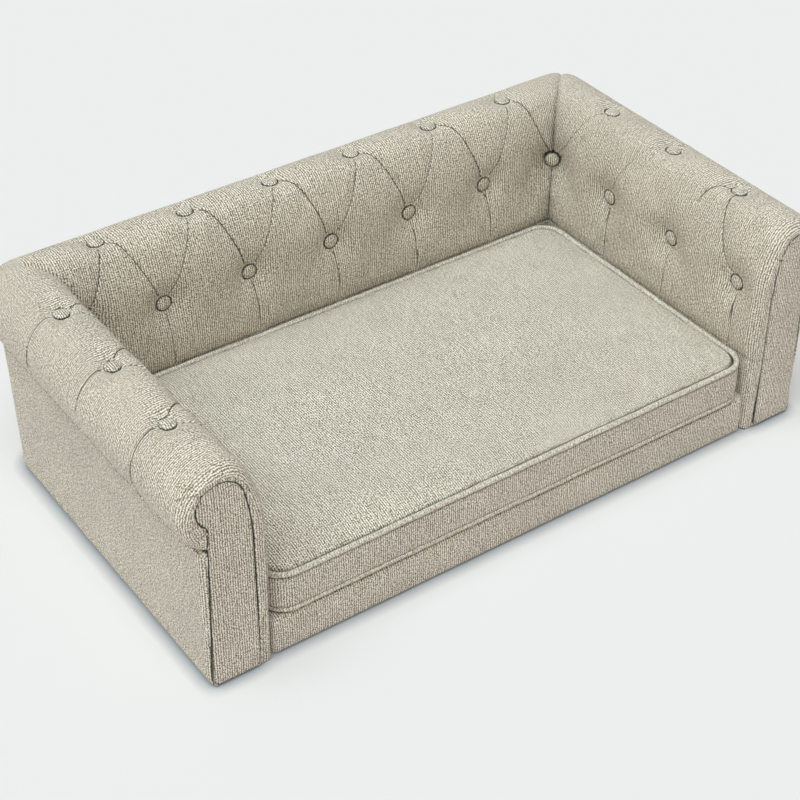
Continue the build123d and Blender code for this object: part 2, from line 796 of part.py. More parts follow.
with BuildPart() as back_pleats:
    add_pleats(back_lower_points, back_upper_points, back_lower_points[1:-1], Vector(0, 1, 0))
    extrude(wall_strip(back_plane, -overrun, pleat_depth), amount=back_length, mode=Mode.INTERSECT)

lower_flank_radius = flank_radius_of(lower_dimple_radius, lower_dimple_depth)
upper_flank_radius = flank_radius_of(upper_dimple_radius, upper_dimple_depth)


def add_dimples(lower_planes, upper_planes):
    for plane in lower_planes:
        add_dimple(plane, lower_dimple_depth, lower_dimple_radius, overrun, lower_flank_radius)
    for plane in upper_planes:
        add_dimple(plane, upper_dimple_depth, upper_dimple_radius, overrun, upper_flank_radius)


with BuildPart() as arm_dimples:
    add_dimples(arm_lower_planes, arm_upper_planes)
    add(corner_dimple.part)

with BuildPart() as back_dimples:
    add_dimples(back_lower_planes, back_upper_planes)
    add(both_corner_dimples.part)

# Padded covers of the walls
with BuildPart() as right_arm_cover:
    extrude(wall_strip(arm_plane, 0, cover_thickness), amount=arm_length)
    revolve(roll_strip(arm_plane, 0, cover_thickness), axis=right_corner_axis, revolution_arc=90)
    split(bisect_by=mitre_plane, keep=Keep.TOP)
    add_block((face_x, arm_front_y, cover_foot_z), (roll_x + pad_out, frame_front_y, seat_height))
    front_edges = right_arm_cover.edges().group_by(Axis.Y)[0]
    rounds = front_edges.filter_by(GeomType.CIRCLE).sort_by(lambda edge: edge.radius)
    outer_edges = rounds[1::2] + front_edges.filter_by(Axis.Z).sort_by(Axis.X)[:1]
    fillet(outer_edges, cover_edge_radius)
    add(arm_dimples.part, mode=Mode.SUBTRACT)
    add(arm_pleats.part, mode=Mode.SUBTRACT)
    add(arm_tie_holes.part, mode=Mode.SUBTRACT)

with BuildPart() as back_cover:
    extrude(wall_strip(back_plane, 0, cover_thickness), amount=back_length)
    revolve(roll_strip(back_plane, 0, cover_thickness), axis=left_corner_axis, revolution_arc=90)
    revolve(roll_strip(arm_plane, 0, cover_thickness), axis=right_corner_axis, revolution_arc=90)
    split(bisect_by=mitre_plane, keep=Keep.BOTTOM)
    split(bisect_by=left_mitre_plane, keep=Keep.BOTTOM)
    add(back_dimples.part, mode=Mode.SUBTRACT)
    add(back_pleats.part, mode=Mode.SUBTRACT)
    add(back_tie_holes.part, mode=Mode.SUBTRACT)


# Flat covers of the outside, up to the seam under the roll
def outer_cover_face(plane):
    seam_radius = roll_radius + seam_gap
    inner_angle = degrees(acos(board_out / seam_radius))
    outer_angle = degrees(acos(panel_out / seam_radius))
    with BuildSketch(plane) as section:
        with BuildLine():
            seam = CenterArc((0, roll_z), seam_radius, -inner_angle, inner_angle - outer_angle)
            Polyline(seam @ 1, (panel_out, cover_foot_z), (board_out, cover_foot_z), seam @ 0)
        make_face()
    return section.sketch


with BuildPart() as right_outer_cover:
    extrude(outer_cover_face(arm_plane), amount=arm_length)
    revolve(outer_cover_face(arm_plane), axis=right_corner_axis, revolution_arc=90)
    split(bisect_by=mitre_plane, keep=Keep.TOP)

with BuildPart() as rear_outer_cover:
    extrude(outer_cover_face(back_plane), amount=back_length)
    revolve(outer_cover_face(back_plane), axis=left_corner_axis, revolution_arc=90)
    revolve(outer_cover_face(arm_plane), axis=right_corner_axis, revolution_arc=90)
    split(bisect_by=mitre_plane, keep=Keep.BOTTOM)
    split(bisect_by=left_mitre_plane, keep=Keep.BOTTOM)

with BuildPart() as front_rail_cover:
    add_block(
        (seam_gap - face_x, arm_front_y - base_proud, cover_foot_z),
        (face_x - seam_gap, frame_front_y, seat_height),
    )
    fillet(front_rail_cover.edges().filter_by(Axis.X).group_by(Axis.Y)[0], base_edge_radius)

# Buttons
with BuildPart() as back_lower_buttons:
    for plane in back_lower_planes:
        add_button(plane, lower_dimple_depth)

with BuildPart() as back_upper_buttons:
    for plane in back_upper_planes:
        add_button(plane, upper_dimple_depth)

with BuildPart() as right_arm_buttons:
    for plane in arm_lower_planes:
        add_button(plane, lower_dimple_depth)
    for plane in arm_upper_planes:
        add_button(plane, upper_dimple_depth)

with BuildPart() as corner_buttons:
    for plane in (left_corner_plane, right_corner_plane):
        add_button(plane, corner_dimple_depth)

# Seat cushion: a crowned foam in a boxed cover with piped seams
cushion_width = 2 * (face_x - cushion_side_gap)
cushion_front_y = arm_front_y - cushion_overhang
cushion_back_y = face_y - cushion_side_gap
cushion_depth = cushion_back_y - cushion_front_y
cushion_middle_y = (cushion_back_y + cushion_front_y) / 2
lower_piping_z = seat_height + lower_piping_rise
upper_piping_z = lower_piping_z + piping_spacing
piping_radius = piping_diameter / 2
panel_inset = piping_diameter + seam_gap
foam_inset = boxing_inset + boxing_thickness + foam_gap
foam_crown_inset = panel_inset + panel_thickness + foam_gap
foam_crown_drop = panel_thickness + foam_gap
boxing_foot_z = lower_piping_z + piping_radius + seam_gap
boxing_top_z = upper_piping_z - piping_radius - seam_gap
cushion_foot_z = seat_height + cushion_rest_gap


def cushion_face(level, inset):
    """The cushion's outline at a height, drawn in by an inset"""
    corner_radius = cushion_corner_radius - corner_ease_share * inset
    with BuildSketch(Plane.XY.offset(level)) as outline:
        with Locations((0, cushion_middle_y)):
            RectangleRounded(cushion_width - 2 * inset, cushion_depth - 2 * inset, corner_radius)
    return outline.sketch


def add_layer(low_z, high_z, inset, mode=Mode.ADD):
    extrude(cushion_face(low_z, inset), amount=high_z - low_z, mode=mode)


def add_crown(inset, drop, mode=Mode.ADD):
    """The crowned top of the cushion, drawn in by an inset and lowered by a drop"""
    faces = []
    for run_share, rise_share in zip(crown_run_shares, crown_rise_shares):
        level = upper_piping_z - drop + rise_share * crown_rise
        faces.append(cushion_face(level, inset + run_share * crown_run))
    loft(faces, mode=mode)


with BuildPart() as cushion_top_panel:
    add_crown(panel_inset, 0)
    add_crown(panel_inset + panel_thickness, panel_thickness, mode=Mode.SUBTRACT)

with BuildPart() as cushion_bottom_panel:
    add_layer(cushion_foot_z, cushion_foot_z + panel_thickness, panel_inset)


def add_piping(level):
    """A round cord in its fabric, along a seam of the cushion"""
    path = cushion_face(level, piping_radius).faces()[0].outer_wire()
    with BuildSketch(Plane(origin=path @ 0, z_dir=path % 0)) as section:
        Circle(piping_radius)
    sweep(section.sketch, path=path)


with BuildPart() as top_piping:
    add_piping(upper_piping_z)

with BuildPart() as bottom_piping:
    add_piping(lower_piping_z)

# Zip in the back of the boxing: two tapes, each with its row of teeth, and a slider astride the rows
zip_z = (boxing_foot_z + boxing_top_z) / 2
tape_y = cushion_back_y - boxing_inset - boxing_thickness
row_y = tape_y + (zip_tape_thickness - zip_row_thickness) / 2
row_foot = zip_centre_gap / 2
tape_foot = row_foot + zip_row_width
tape_top = tape_foot + zip_tape_width
slot_length = zip_length + 2 * zip_stop_length + 2 * zip_slot_gap
slot_half_height = tape_top + zip_slot_gap
slider_back_y = row_y - slider_gap - slider_plate_thickness
slider_front_y = row_y + zip_row_thickness + slider_gap
slider_start_x = slider_length / 2 + slider_gap - zip_length / 2

with BuildPart() as cushion_boxing:
    add_layer(boxing_foot_z, boxing_top_z, boxing_inset)
    add_layer(boxing_foot_z, boxing_top_z, boxing_inset + boxing_thickness, mode=Mode.SUBTRACT)
    add_block(
        (-slot_length / 2, tape_y - overrun, zip_z - slot_half_height),
        (slot_length / 2, cushion_back_y, zip_z + slot_half_height),
        mode=Mode.SUBTRACT,
    )

with BuildPart() as cushion_foam:
    add_layer(cushion_foot_z + panel_thickness + foam_gap, boxing_foot_z, foam_crown_inset)
    add_layer(boxing_foot_z, boxing_top_z, foam_inset)
    add_layer(boxing_top_z, upper_piping_z - foam_crown_drop, foam_crown_inset)
    add_crown(foam_crown_inset, foam_crown_drop)
    add_block(
        (-slot_length / 2, slider_back_y - slider_relief_gap, zip_z - slot_half_height),
        (slot_length / 2, cushion_back_y, zip_z + slot_half_height),
        mode=Mode.SUBTRACT,
    )

with BuildPart() as zip_tapes:
    for side in (-1, 1):
        with BuildSketch(Plane.XZ.offset(-tape_y)) as tape:
            with Locations((0, zip_z + side * (tape_foot + tape_top) / 2)):
                Rectangle(slot_length - 2 * zip_slot_gap, zip_tape_width)
        extrude(tape.sketch, amount=-zip_tape_thickness)

with BuildPart() as zip_teeth:
    for side in (-1, 1):
        with BuildSketch(Plane.XZ.offset(-row_y)) as row:
            with Locations((0, zip_z + side * (row_foot + tape_foot) / 2)):
                Rectangle(zip_length, zip_row_width)
        extrude(row.sketch, amount=-zip_row_thickness)

with BuildPart() as zip_stops:
    for side in (-1, 1):
        with BuildSketch(Plane.XZ.offset(-row_y)) as stop:
            with Locations((side * (zip_length + zip_stop_length) / 2, zip_z)):
                Rectangle(zip_stop_length, 2 * tape_foot)
        extrude(stop.sketch, amount=-zip_row_thickness)

with BuildPart() as zip_slider:
    for plate_y in (slider_back_y, slider_front_y):
        with BuildSketch(Plane.XZ.offset(-plate_y)) as plate:
            with Locations((slider_start_x, zip_z)):
                RectangleRounded(slider_length, slider_width, slider_corner_radius)
        extrude(plate.sketch, amount=-slider_plate_thickness)
    with BuildSketch(Plane.XZ.offset(-slider_back_y - slider_plate_thickness)) as neck:
        with Locations((slider_start_x, zip_z)):
            Rectangle(slider_neck_length, zip_centre_gap - 2 * slider_gap)
    extrude(neck.sketch, amount=slider_back_y + slider_plate_thickness - slider_front_y)

# Pieces on the middle of the sofa
save(back_board, "back_board")
save(back_top_rail, "back_top_rail")
save(front_rail, "front_rail")
save(rear_rail, "rear_rail")
save(centre_rail, "centre_rail")
save(seat_deck, "seat_deck")
save(back_foam, "back_foam")
save(back_roll_foam, "back_roll_foam")
save(back_cover, "back_cover")
save(rear_outer_cover, "rear_outer_cover")
save(front_rail_cover, "front_rail_cover")
save(dust_cover, "dust_cover")

# Pieces that each arm has
save_pair(right_arm_board, "arm_board")
save_pair(right_corner_post, "corner_post")
save_pair(right_top_rail, "top_rail")
save_pair(right_side_rail, "side_rail")
save_pair(right_front_board, "front_board")
save_pair(right_arm_foam, "arm_foam")
save_pair(right_roll_foam, "roll_foam")
save_pair(right_arm_cover, "arm_cover")
save_pair(right_outer_cover, "outer_cover")
save_pair(right_facing_board, "facing_board")
save_pair(right_facing_cover, "facing_cover")
save_pair(right_arm_buttons, "arm_buttons")

# Groups of small pieces
save(back_lower_buttons, "back_lower_buttons")
save(back_upper_buttons, "back_upper_buttons")
save(corner_buttons, "corner_buttons")
save(button_ties, "button_ties")
save(tie_washers, "tie_washers")
save(frame_screws, "frame_screws")
save(deck_screws, "deck_screws")
save(facing_pins, "facing_pins")
save(floor_glides, "floor_glides")

# The seat cushion
save(cushion_foam, "cushion_foam")
save(cushion_top_panel, "cushion_top_panel")
save(cushion_bottom_panel, "cushion_bottom_panel")
save(cushion_boxing, "cushion_boxing")
save(top_piping, "top_piping")
save(bottom_piping, "bottom_piping")
save(zip_tapes, "zip_tapes")
save(zip_teeth, "zip_teeth")
save(zip_stops, "zip_stops")
save(zip_slider, "zip_slider")
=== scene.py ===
import math

import bmesh
import bpy
import numpy as np
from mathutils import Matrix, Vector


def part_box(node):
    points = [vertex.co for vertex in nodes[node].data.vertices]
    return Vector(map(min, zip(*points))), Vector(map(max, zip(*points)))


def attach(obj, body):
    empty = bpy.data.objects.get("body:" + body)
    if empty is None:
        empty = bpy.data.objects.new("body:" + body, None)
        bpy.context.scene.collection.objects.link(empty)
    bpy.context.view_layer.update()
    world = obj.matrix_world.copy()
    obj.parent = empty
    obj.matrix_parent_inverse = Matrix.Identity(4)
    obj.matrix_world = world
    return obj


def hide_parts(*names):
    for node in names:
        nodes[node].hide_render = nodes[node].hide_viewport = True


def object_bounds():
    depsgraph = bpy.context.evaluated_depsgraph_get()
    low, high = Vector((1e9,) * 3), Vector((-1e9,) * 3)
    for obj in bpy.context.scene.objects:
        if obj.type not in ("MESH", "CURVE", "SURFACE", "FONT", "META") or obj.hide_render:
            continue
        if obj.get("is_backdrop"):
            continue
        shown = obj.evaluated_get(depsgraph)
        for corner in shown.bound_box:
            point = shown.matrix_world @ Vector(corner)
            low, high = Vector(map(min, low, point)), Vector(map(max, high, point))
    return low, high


# A small rolled-arm sofa for a dog, upholstered in slubbed linen. Shapes are worked out in millimetres
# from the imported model's own box, and every mesh is written in metres in the same frame
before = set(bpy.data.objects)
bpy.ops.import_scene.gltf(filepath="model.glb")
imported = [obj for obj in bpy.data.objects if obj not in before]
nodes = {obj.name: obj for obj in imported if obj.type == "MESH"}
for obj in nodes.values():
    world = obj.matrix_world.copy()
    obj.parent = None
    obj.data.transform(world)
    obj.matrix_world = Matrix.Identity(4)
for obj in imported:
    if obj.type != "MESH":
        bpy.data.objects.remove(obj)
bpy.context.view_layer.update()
mm = 0.001
halfWidth, halfDepth, topZ = (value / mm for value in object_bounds()[1])
print("frame loaded:", len(nodes), "nodes")

# What both arms and the back share: one outline, measured outward from the middle of the roll
wall = {
    "rollRadius": 51,
    "crestRadius": 30,  # tighter round on the seat side
    "faceOut": -46,
    "panelOut": 30,
    "seamOut": 24,  # where the roll tucks under, onto the board
    "uprightDrop": 40,  # the seat face leans back from this far under the roll's middle
    "step": 1.7,  # mesh spacing
    "cornerStep": 2.2,
    "fanRun": 40,  # the columns spread to the mitre over this length
    "facingThickness": 8,
    "frontRadius": 8,  # soft front edge of an arm
    "borderRun": 17,  # border round the facing, after that edge
    "borderBulge": 7.3,
    "footBulge": 4.4,  # less towards the floor
    "bulgeHeights": (20, 90),  # it grows between these
    "borderRipple": 0.35,
    "borderClear": 0.4,  # it stands at least this far out
    "crevice": (0.7, 1.3),  # the border dives beside the facing: how far off, and over what width
    "cordSink": 1.5,  # the cushion's cord marks the wall this far under its top
    "cordMarkDepth": 1.2,
    "cordMarkWidth": 1.3,
    # painted shade along the cord's crease
    "cordMarkShade": 0.4,
    "pressedAbove": 15.5,  # the cushion presses the padding flat to this height over its cord
    "pressedDepth": 1.3,
    "pressedRun": 14,
    "seamRun": 6,  # the padding flattens towards the seam under the roll
    "seamShare": 0.2,
    "mitreDepth": 2.2,  # a sharp crease along the mitre of a back corner
    "mitreWidth": 2,
    "mitreHollow": 1.4,  # and a broad one
    "mitreReach": 8,
    "mitreShade": 0.22,  # little light comes into the corners
    "mitreShadeReach": 12,
    "mitreShadeRun": 60,
    "followShare": 0.7,  # the weave stretches less than the padding bulges
}
rollX = halfWidth - wall["rollRadius"]
rollY = halfDepth - wall["rollRadius"]
rollZ = topZ - wall["rollRadius"]
crestZ = topZ - wall["crestRadius"]
uprightZ = rollZ - wall["uprightDrop"]
faceX = rollX + wall["faceOut"]
faceY = rollY + wall["faceOut"]
armFrontY = wall["facingThickness"] - halfDepth
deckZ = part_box("seat_deck")[1][2] / mm
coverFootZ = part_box("rear_outer_cover")[0][2] / mm
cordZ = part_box("top_piping")[1][2] / mm - wall["cordSink"]

# From a wall's own measures, along it, outward and up, to the sofa's
toSofa = {
    "back": lambda along, out, z: (along, rollY + out, z),
    "right": lambda along, out, z: (rollX + out, along, z),
    "left": lambda along, out, z: (-rollX - out, along, z),
}


# Radius of the arc that leans from an upright face into a round of its own radius
def leaningRadius(across, rise, roundRadius):
    return (across**2 + rise**2 - roundRadius**2) / (2 * (across - roundRadius))


leanRise = crestZ - uprightZ
leanRadius = leaningRadius(-wall["faceOut"], leanRise, wall["crestRadius"])
leanAngle = math.atan2(leanRise, wall["faceOut"] + leanRadius)
leanLength = leanRadius * leanAngle
crestLength = wall["crestRadius"] * (math.pi / 2 - leanAngle)
rollLength = wall["rollRadius"] * (math.pi / 2 + math.acos(wall["seamOut"] / wall["rollRadius"]))
profileTop = uprightZ + leanLength + crestLength  # run up the outline to the top of the roll
profileEnd = profileTop + rollLength


# A value held between 0 and 1
def ramp(value):
    return np.clip(value, 0, 1)


# 1 at no distance, falling off smoothly over about twice the width
def bell(distance, width):
    return np.exp(-((distance / width) ** 2))


# Outline and outward normal at a run along it; a run on the upright face is its height
def wallProfile(run):
    turned = np.clip(run - uprightZ, 0, leanLength) / leanRadius
    turned = turned + np.clip(run - uprightZ - leanLength, 0, crestLength) / wall["crestRadius"]
    turned = turned + np.clip(run - profileTop, 0, None) / wall["rollRadius"]
    normalOut, normalZ = np.cos(np.pi - turned), np.sin(np.pi - turned)
    onLean = run > uprightZ
    onCrest = run > uprightZ + leanLength
    onRoll = run > profileTop
    radius = np.select([onRoll, onCrest, onLean], [wall["rollRadius"], wall["crestRadius"], leanRadius], 0)
    middleOut = np.select([onCrest, onLean], [0, wall["faceOut"] + leanRadius], wall["faceOut"])
    middleZ = np.select([onRoll, onCrest, onLean], [rollZ, crestZ, uprightZ], run)
    return middleOut + radius * normalOut, middleZ + radius * normalZ, normalOut, normalZ


# Slow unevenness, mostly from -1 to 1, with features of about that size; the same on every run
def softNoise(across, along, size, seed):
    random = np.random.default_rng(seed)
    total = 0
    for _ in range(7):
        angle = random.uniform(0, math.tau)
        pitch = size * random.uniform(0.7, 1.9)
        swing = (across * math.cos(angle) + along * math.sin(angle)) * math.tau / pitch
        total = total + np.sin(swing + random.uniform(0, math.tau))
    return total / 4


# Distance from every point to a path, on which side it lies, and how far along the path the nearest spot is
def distanceToPath(across, along, path):
    best = np.full(across.shape, 1e9)
    side, share = np.zeros(across.shape), np.zeros(across.shape)
    pieces = len(path) - 1
    for index in range(pieces):
        (ax, ay), (bx, by) = path[index], path[index + 1]
        dx, dy = bx - ax, by - ay
        length = dx * dx + dy * dy
        spot = ramp(((across - ax) * dx + (along - ay) * dy) / length)
        gapX, gapY = across - ax - spot * dx, along - ay - spot * dy
        gap = np.hypot(gapX, gapY)
        nearer = gap < best
        best = np.where(nearer, gap, best)
        side = np.where(nearer, np.sign(dx * gapY - dy * gapX), side)
        share = np.where(nearer, (index + spot) / pieces, share)
    return best, side, share


# A curve between two spots: bow pushes its middle sideways, hook makes it leave the start sideways
def bentPath(start, end, bow, hook=0, count=14, hookShare=0.12, bowShare=0.62):
    start, end = np.array(start, float), np.array(end, float)
    ahead = end - start
    sideways = np.array([-ahead[1], ahead[0]]) / np.hypot(*ahead)
    first = start + ahead * hookShare + sideways * hook
    second = start + ahead * bowShare + sideways * bow
    t = np.linspace(0, 1, count + 1)[:, None]
    return (1 - t) ** 3 * start + 3 * t * (1 - t) ** 2 * first + 3 * t * t * (1 - t) * second + t**3 * end


# How deep the buttons are pulled in, and how the linen is folded between them
tufting = {
    "buttonRadius": 11,
    "coverRadius": 9.8,  # the linen draws the covered button smaller
    "edgeGap": 0.8,  # the padding starts this far off
    "dipPower": 1.35,
    "lowerPull": 9.5,  # depth of the padding beside a lower button
    "upperPull": 7.0,
    "cornerPull": 17.0,
    "lowerReach": 17,
    "upperReach": 10,
    "cornerReach": 24,
    "cornerCreaseShare": 0.55,  # the sewn mitre is pulled in less than the padding beside it
    "edgeGroove": 4.0,  # the linen dives under the corner buttons' edge
    "grooveWidth": 1.5,
    "grooveFloorGap": 1.4,
    "grooveFloorDrop": 2,
    "hollowDepth": 8.0,  # under a button and the linen rolled in round it
    "hollowRadius": 12.8,
    "hollowSlope": 3,
    "trenchWidth": 2.4,  # under a pleat's fold
    "trenchDepth": 3.8,
    "trenchShift": 0.4,
    "foldHeight": 0.9,  # a pleat stands proud along one side
    "foldWidth": 7,
    "foldOffset": 3,
    "foldEdge": 1.2,
    "sinkDepth": 1.3,  # the padding sinks a little along a pleat
    "sinkWidth": 9,
    "pleatReach": 50,  # farther off, a pleat changes nothing
    "endShare": 0.05,  # a pleat's ends fade over this share of it
    "middleShare": 0.65,  # it shows most beside its buttons
    "puff": 1.8,  # the padding swells between pleats
    "puffReach": 26,
    "weakReach": 40,  # and over a weak pleat
    "ripple": 0.5,
    "rippleSize": 34,
    "fineRipple": 0.25,
    "fineRippleSize": 13,
    "collarRadius": 10.7,  # the linen rolls in to a button at this radius
    "puckerCount": 7,  # small gathers round a button
    "puckerWidth": 0.35,
    "puckerDepth": 0.6,
    "puckerStart": 3,
    "puckerReach": 6,
    "calmStart": 8,  # behind the upper buttons the roll is smoother
    "calmRun": 13,
    "calmShare": 0.85,
}
# Cross-sections of folded linen: (distance from the fold's edge, height over the padding)
pleatFold = (
    (7, -0.5), (5, 0.1), (3.2, 0.5), (1.6, 0.75), (0.6, 0.65), (0.1, 0.15), (0, -0.8), (0, -3),
    (-0.7, -3), (-0.75, -0.9), (-1.1, -0.2), (-2.2, 0.1), (-4, 0.05), (-6, -0.5),
)
collarFold = ((3.9, -0.9), (2.8, 0), (1.8, 0.35), (0.9, 0.4), (0.35, 0.15), (0, -0.5), (0.1, -2), (0.6, -5))
# How much painted shade darkens the colour in a fold, and how a weak fold sinks into the padding
foldShade = {"reach": 2, "start": -0.25, "rate": 2, "strengthRate": 1.15, "sink": 0.6, "sinkRate": 6}


# What one button does to the padding: how far it draws it in, the hollow that holds the button itself,
# the small gathers round its edge, and the distance from that edge
def buttonDent(along, run, spot, seed):
    spotAlong, spotRun, pull, reach, creaseShare = spot
    away = np.hypot(along - spotAlong, run - spotRun)
    turn = np.arctan2(run - spotRun, along - spotAlong)
    edge = tufting["coverRadius"] + tufting["edgeGap"]
    beside = np.maximum(away - edge, 0)
    pull = pull * (creaseShare + (1 - creaseShare) * ramp(np.abs(along - spotAlong) / edge))
    dip = pull * np.exp(-((beside / reach) ** tufting["dipPower"]))
    if creaseShare < 1:
        hollow = tufting["edgeGroove"] * bell(away - tufting["coverRadius"], tufting["grooveWidth"])
        onFloor = away < edge - tufting["grooveFloorGap"]
        hollow = hollow + onFloor * (tufting["edgeGroove"] + tufting["grooveFloorDrop"])
    else:
        hollow = tufting["hollowDepth"] * ramp((tufting["hollowRadius"] - away) / tufting["hollowSlope"])
    spokes = bell(np.sin(turn * tufting["puckerCount"] / 2 + seed + spotAlong), tufting["puckerWidth"])
    spokes = spokes * (0.55 + 0.45 * np.sin(turn * 2 + spotAlong)) - 0.2  # uneven round the button
    near = bell(away - edge - tufting["puckerStart"], tufting["puckerReach"]) * (away > edge)
    return dip, hollow, -tufting["puckerDepth"] * spokes * near, beside


# How far the linen stands out from the plain outline, in mm; grooves=0 leaves out what a fold covers
def tuftedHeight(along, run, buttons, pleats, seed, grooves=1):
    height, cuts, gather = np.zeros(along.shape), np.zeros(along.shape), np.zeros(along.shape)
    nearest = np.full(along.shape, 1e9)
    for spot in buttons:
        dip, hollow, gathered, beside = buttonDent(along, run, spot, seed)
        height = height - dip
        cuts = cuts + hollow
        gather = gather + gathered
        nearest = np.minimum(nearest, beside)
    for path, strength in pleats:
        middle = (path.max(axis=0) + path.min(axis=0)) / 2
        half = np.ptp(path, axis=0) / 2 + tufting["pleatReach"]
        near = (np.abs(along - middle[0]) < half[0]) & (np.abs(run - middle[1]) < half[1])
        away, side, share = distanceToPath(along[near], run[near], path)
        fade = pleatFade(strength, share)
        proud = (side > 0) * bell(away - tufting["foldOffset"], tufting["foldWidth"])
        proud = tufting["foldHeight"] * proud * ramp(away / tufting["foldEdge"])
        height[near] += fade * (proud - tufting["sinkDepth"] * bell(away, tufting["sinkWidth"]))
        trench = bell(away + tufting["trenchShift"] * side, tufting["trenchWidth"])
        cuts[near] += tufting["trenchDepth"] * np.sqrt(fade) * trench
        nearest[near] = np.minimum(nearest[near], away + tufting["weakReach"] * (1 - strength))
    height = height + tufting["puff"] * (1 - bell(nearest, tufting["puffReach"])) + gather
    height = height + tufting["ripple"] * softNoise(along, run, tufting["rippleSize"], seed)
    height = height + tufting["fineRipple"] * softNoise(along, run, tufting["fineRippleSize"], seed + 1)
    calm = tufting["calmShare"] * ramp((run - upperRun - tufting["calmStart"]) / tufting["calmRun"])
    return height * (1 - calm) + calm - grooves * cuts


# A pleat shows most beside its buttons and ends softly
def pleatFade(strength, share):
    ends = ramp(np.minimum(share, 1 - share) / tufting["endShare"])
    least = tufting["middleShare"]
    return strength * (least + (1 - least) * np.abs(2 * share - 1) ** 1.5) * ends


# Linen folded along a path: a narrow strip whose rounded edge throws the fold's dark line, with painted shade
# darkening its colour where the section dips under the padding
def foldStrip(path, section, place, strength=None):
    path = np.array(path, float)
    ahead = np.gradient(path, axis=0)
    ahead /= np.linalg.norm(ahead, axis=1)[:, None]
    sideways = np.column_stack([-ahead[:, 1], ahead[:, 0]])
    if strength is None:
        strength = np.ones(len(path))
    sunk = foldShade["sink"] * (1 - ramp(strength * foldShade["sinkRate"]))
    shown = ramp(strength * foldShade["strengthRate"])
    points, weave, paintedShade = [], [], []
    for offset, height in section:
        spots = path + sideways * offset
        points.append(np.stack(place(*spots.T, height * strength - sunk), axis=-1))
        weave.append(spots)
        depth = ramp(foldShade["rate"] * (foldShade["start"] - height))
        paintedShade.append((abs(offset) < foldShade["reach"]) * depth * shown)
    return np.array(points), np.array(weave), np.array(paintedShade)


# Quads of a grid of points that is stored row by row
def gridFaces(rows, columns):
    row, column = np.meshgrid(np.arange(rows - 1), np.arange(columns - 1), indexing="ij")
    corner = (row * columns + column).ravel()
    return np.stack([corner, corner + 1, corner + columns + 1, corner + columns], axis=1)


# A mesh in metres from points in mm, with doubled points joined and the weave's own map in metres;
# the last array is painted shade: from 0 to 1, how much a point's colour is darkened deep in a fold, where
# little light comes
def makeMesh(name, points, faces, weave, paintedShade=None):
    mesh = bpy.data.meshes.new(name)
    points = np.asarray(points, float).reshape(-1, 3) * mm
    weave = np.asarray(weave, float).reshape(-1, 2) * mm
    mesh.from_pydata(points.tolist(), [], np.asarray(faces).tolist())
    corners = np.empty(len(mesh.loops), np.int32)
    mesh.loops.foreach_get("vertex_index", corners)
    mesh.uv_layers.new(name="weave").data.foreach_set("uv", weave[corners].astype(np.float32).ravel())
    depths = np.zeros(len(points)) if paintedShade is None else np.asarray(paintedShade, float).ravel()
    mesh.attributes.new("paintedShade", "FLOAT", "POINT").data.foreach_set("value", depths.astype(np.float32))
    work = bmesh.new()
    work.from_mesh(mesh)
    bmesh.ops.remove_doubles(work, verts=work.verts, dist=0.02 * mm)
    bmesh.ops.dissolve_degenerate(work, edges=work.edges, dist=0.005 * mm)
    for face in work.faces:
        face.smooth = True
    work.to_mesh(mesh)
    work.free()
    return mesh


# A mesh from a grid of points; its faces are turned over where the grid runs the other way round
def gridMesh(name, points, weave, turnOver=False, paintedShade=None):
    points = np.asarray(points)
    faces = gridFaces(*points.shape[:2])
    return makeMesh(name, points, faces[:, ::-1] if turnOver else faces, weave, paintedShade)


# One named piece from one or more meshes, which rides on a body and stands for CAD nodes
def makePiece(name, parts, material, body, replaced):
    work = bmesh.new()
    for mesh in parts:
        work.from_mesh(mesh)
    whole = bpy.data.meshes.new(name)
    work.to_mesh(whole)
    work.free()
    for mesh in parts:
        bpy.data.meshes.remove(mesh)
    whole.materials.append(material)
    piece = bpy.data.objects.new(name, whole)
    bpy.context.scene.collection.objects.link(piece)
    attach(piece, body)
    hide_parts(*replaced)
    return piece


# Several folded strips as one mesh, with their painted shade
def stripMesh(name, strips, turnOver):
    points, weave, paintedShade, faces, start = [], [], [], [], 0
    for spots, flat, depth in strips:
        faces.append(gridFaces(*spots.shape[:2]) + start)
        points.append(spots.reshape(-1, 3))
        weave.append(flat.reshape(-1, 2))
        paintedShade.append(depth.ravel())
        start += len(points[-1])
    points, faces, weave, paintedShade = (np.concatenate(rows) for rows in (points, faces, weave, paintedShade))
    return makeMesh(name, points, faces[:, ::-1] if turnOver else faces, weave, paintedShade)


# Where the buttons sit, along each wall and up its outline, taken from the model's own buttons
backLowerCount = 5
armCount = 3
armPitch = 116
upperOut = 5  # the upper buttons sit just behind the top of the roll
backPitch = (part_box("back_lower_buttons")[1][0] / mm - tufting["buttonRadius"]) / ((backLowerCount - 1) / 2)
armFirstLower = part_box("right_arm_buttons")[0][1] / mm + tufting["buttonRadius"]
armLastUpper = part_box("right_arm_buttons")[1][1] / mm - tufting["buttonRadius"]
lowerRun = uprightZ + 1
upperRun = profileTop + wall["rollRadius"] * math.asin(upperOut / wall["rollRadius"])
backLower = [(index - (backLowerCount - 1) / 2) * backPitch for index in range(backLowerCount)]
backUpper = [(index - backLowerCount / 2) * backPitch for index in range(backLowerCount + 1)]
armLower = [armFirstLower + (armCount - 1 - index) * armPitch for index in range(armCount)]  # from the back
armUpper = [armLastUpper - index * armPitch for index in range(armCount)]


# Place and pull of a row of buttons, for the padding round them
def buttonHollows(places, row, run, creaseShare=1):
    return [(along, run, tufting[row + "Pull"], tufting[row + "Reach"], creaseShare) for along in places]


# Each pleat runs between two spots: where from, where to, how strongly it shows, how far it bows
# sideways, and how far it leaves its first button sideways
def sewnPleats(rows):
    return [(bentPath(start, end, bow, hook), strength) for start, end, strength, bow, hook in rows]


def upperSpot(along):
    return along, upperRun


def lowerSpot(along):
    return along, lowerRun


def footSpot(along):
    return along, deckZ


def seamSpot(along):
    return along, profileEnd


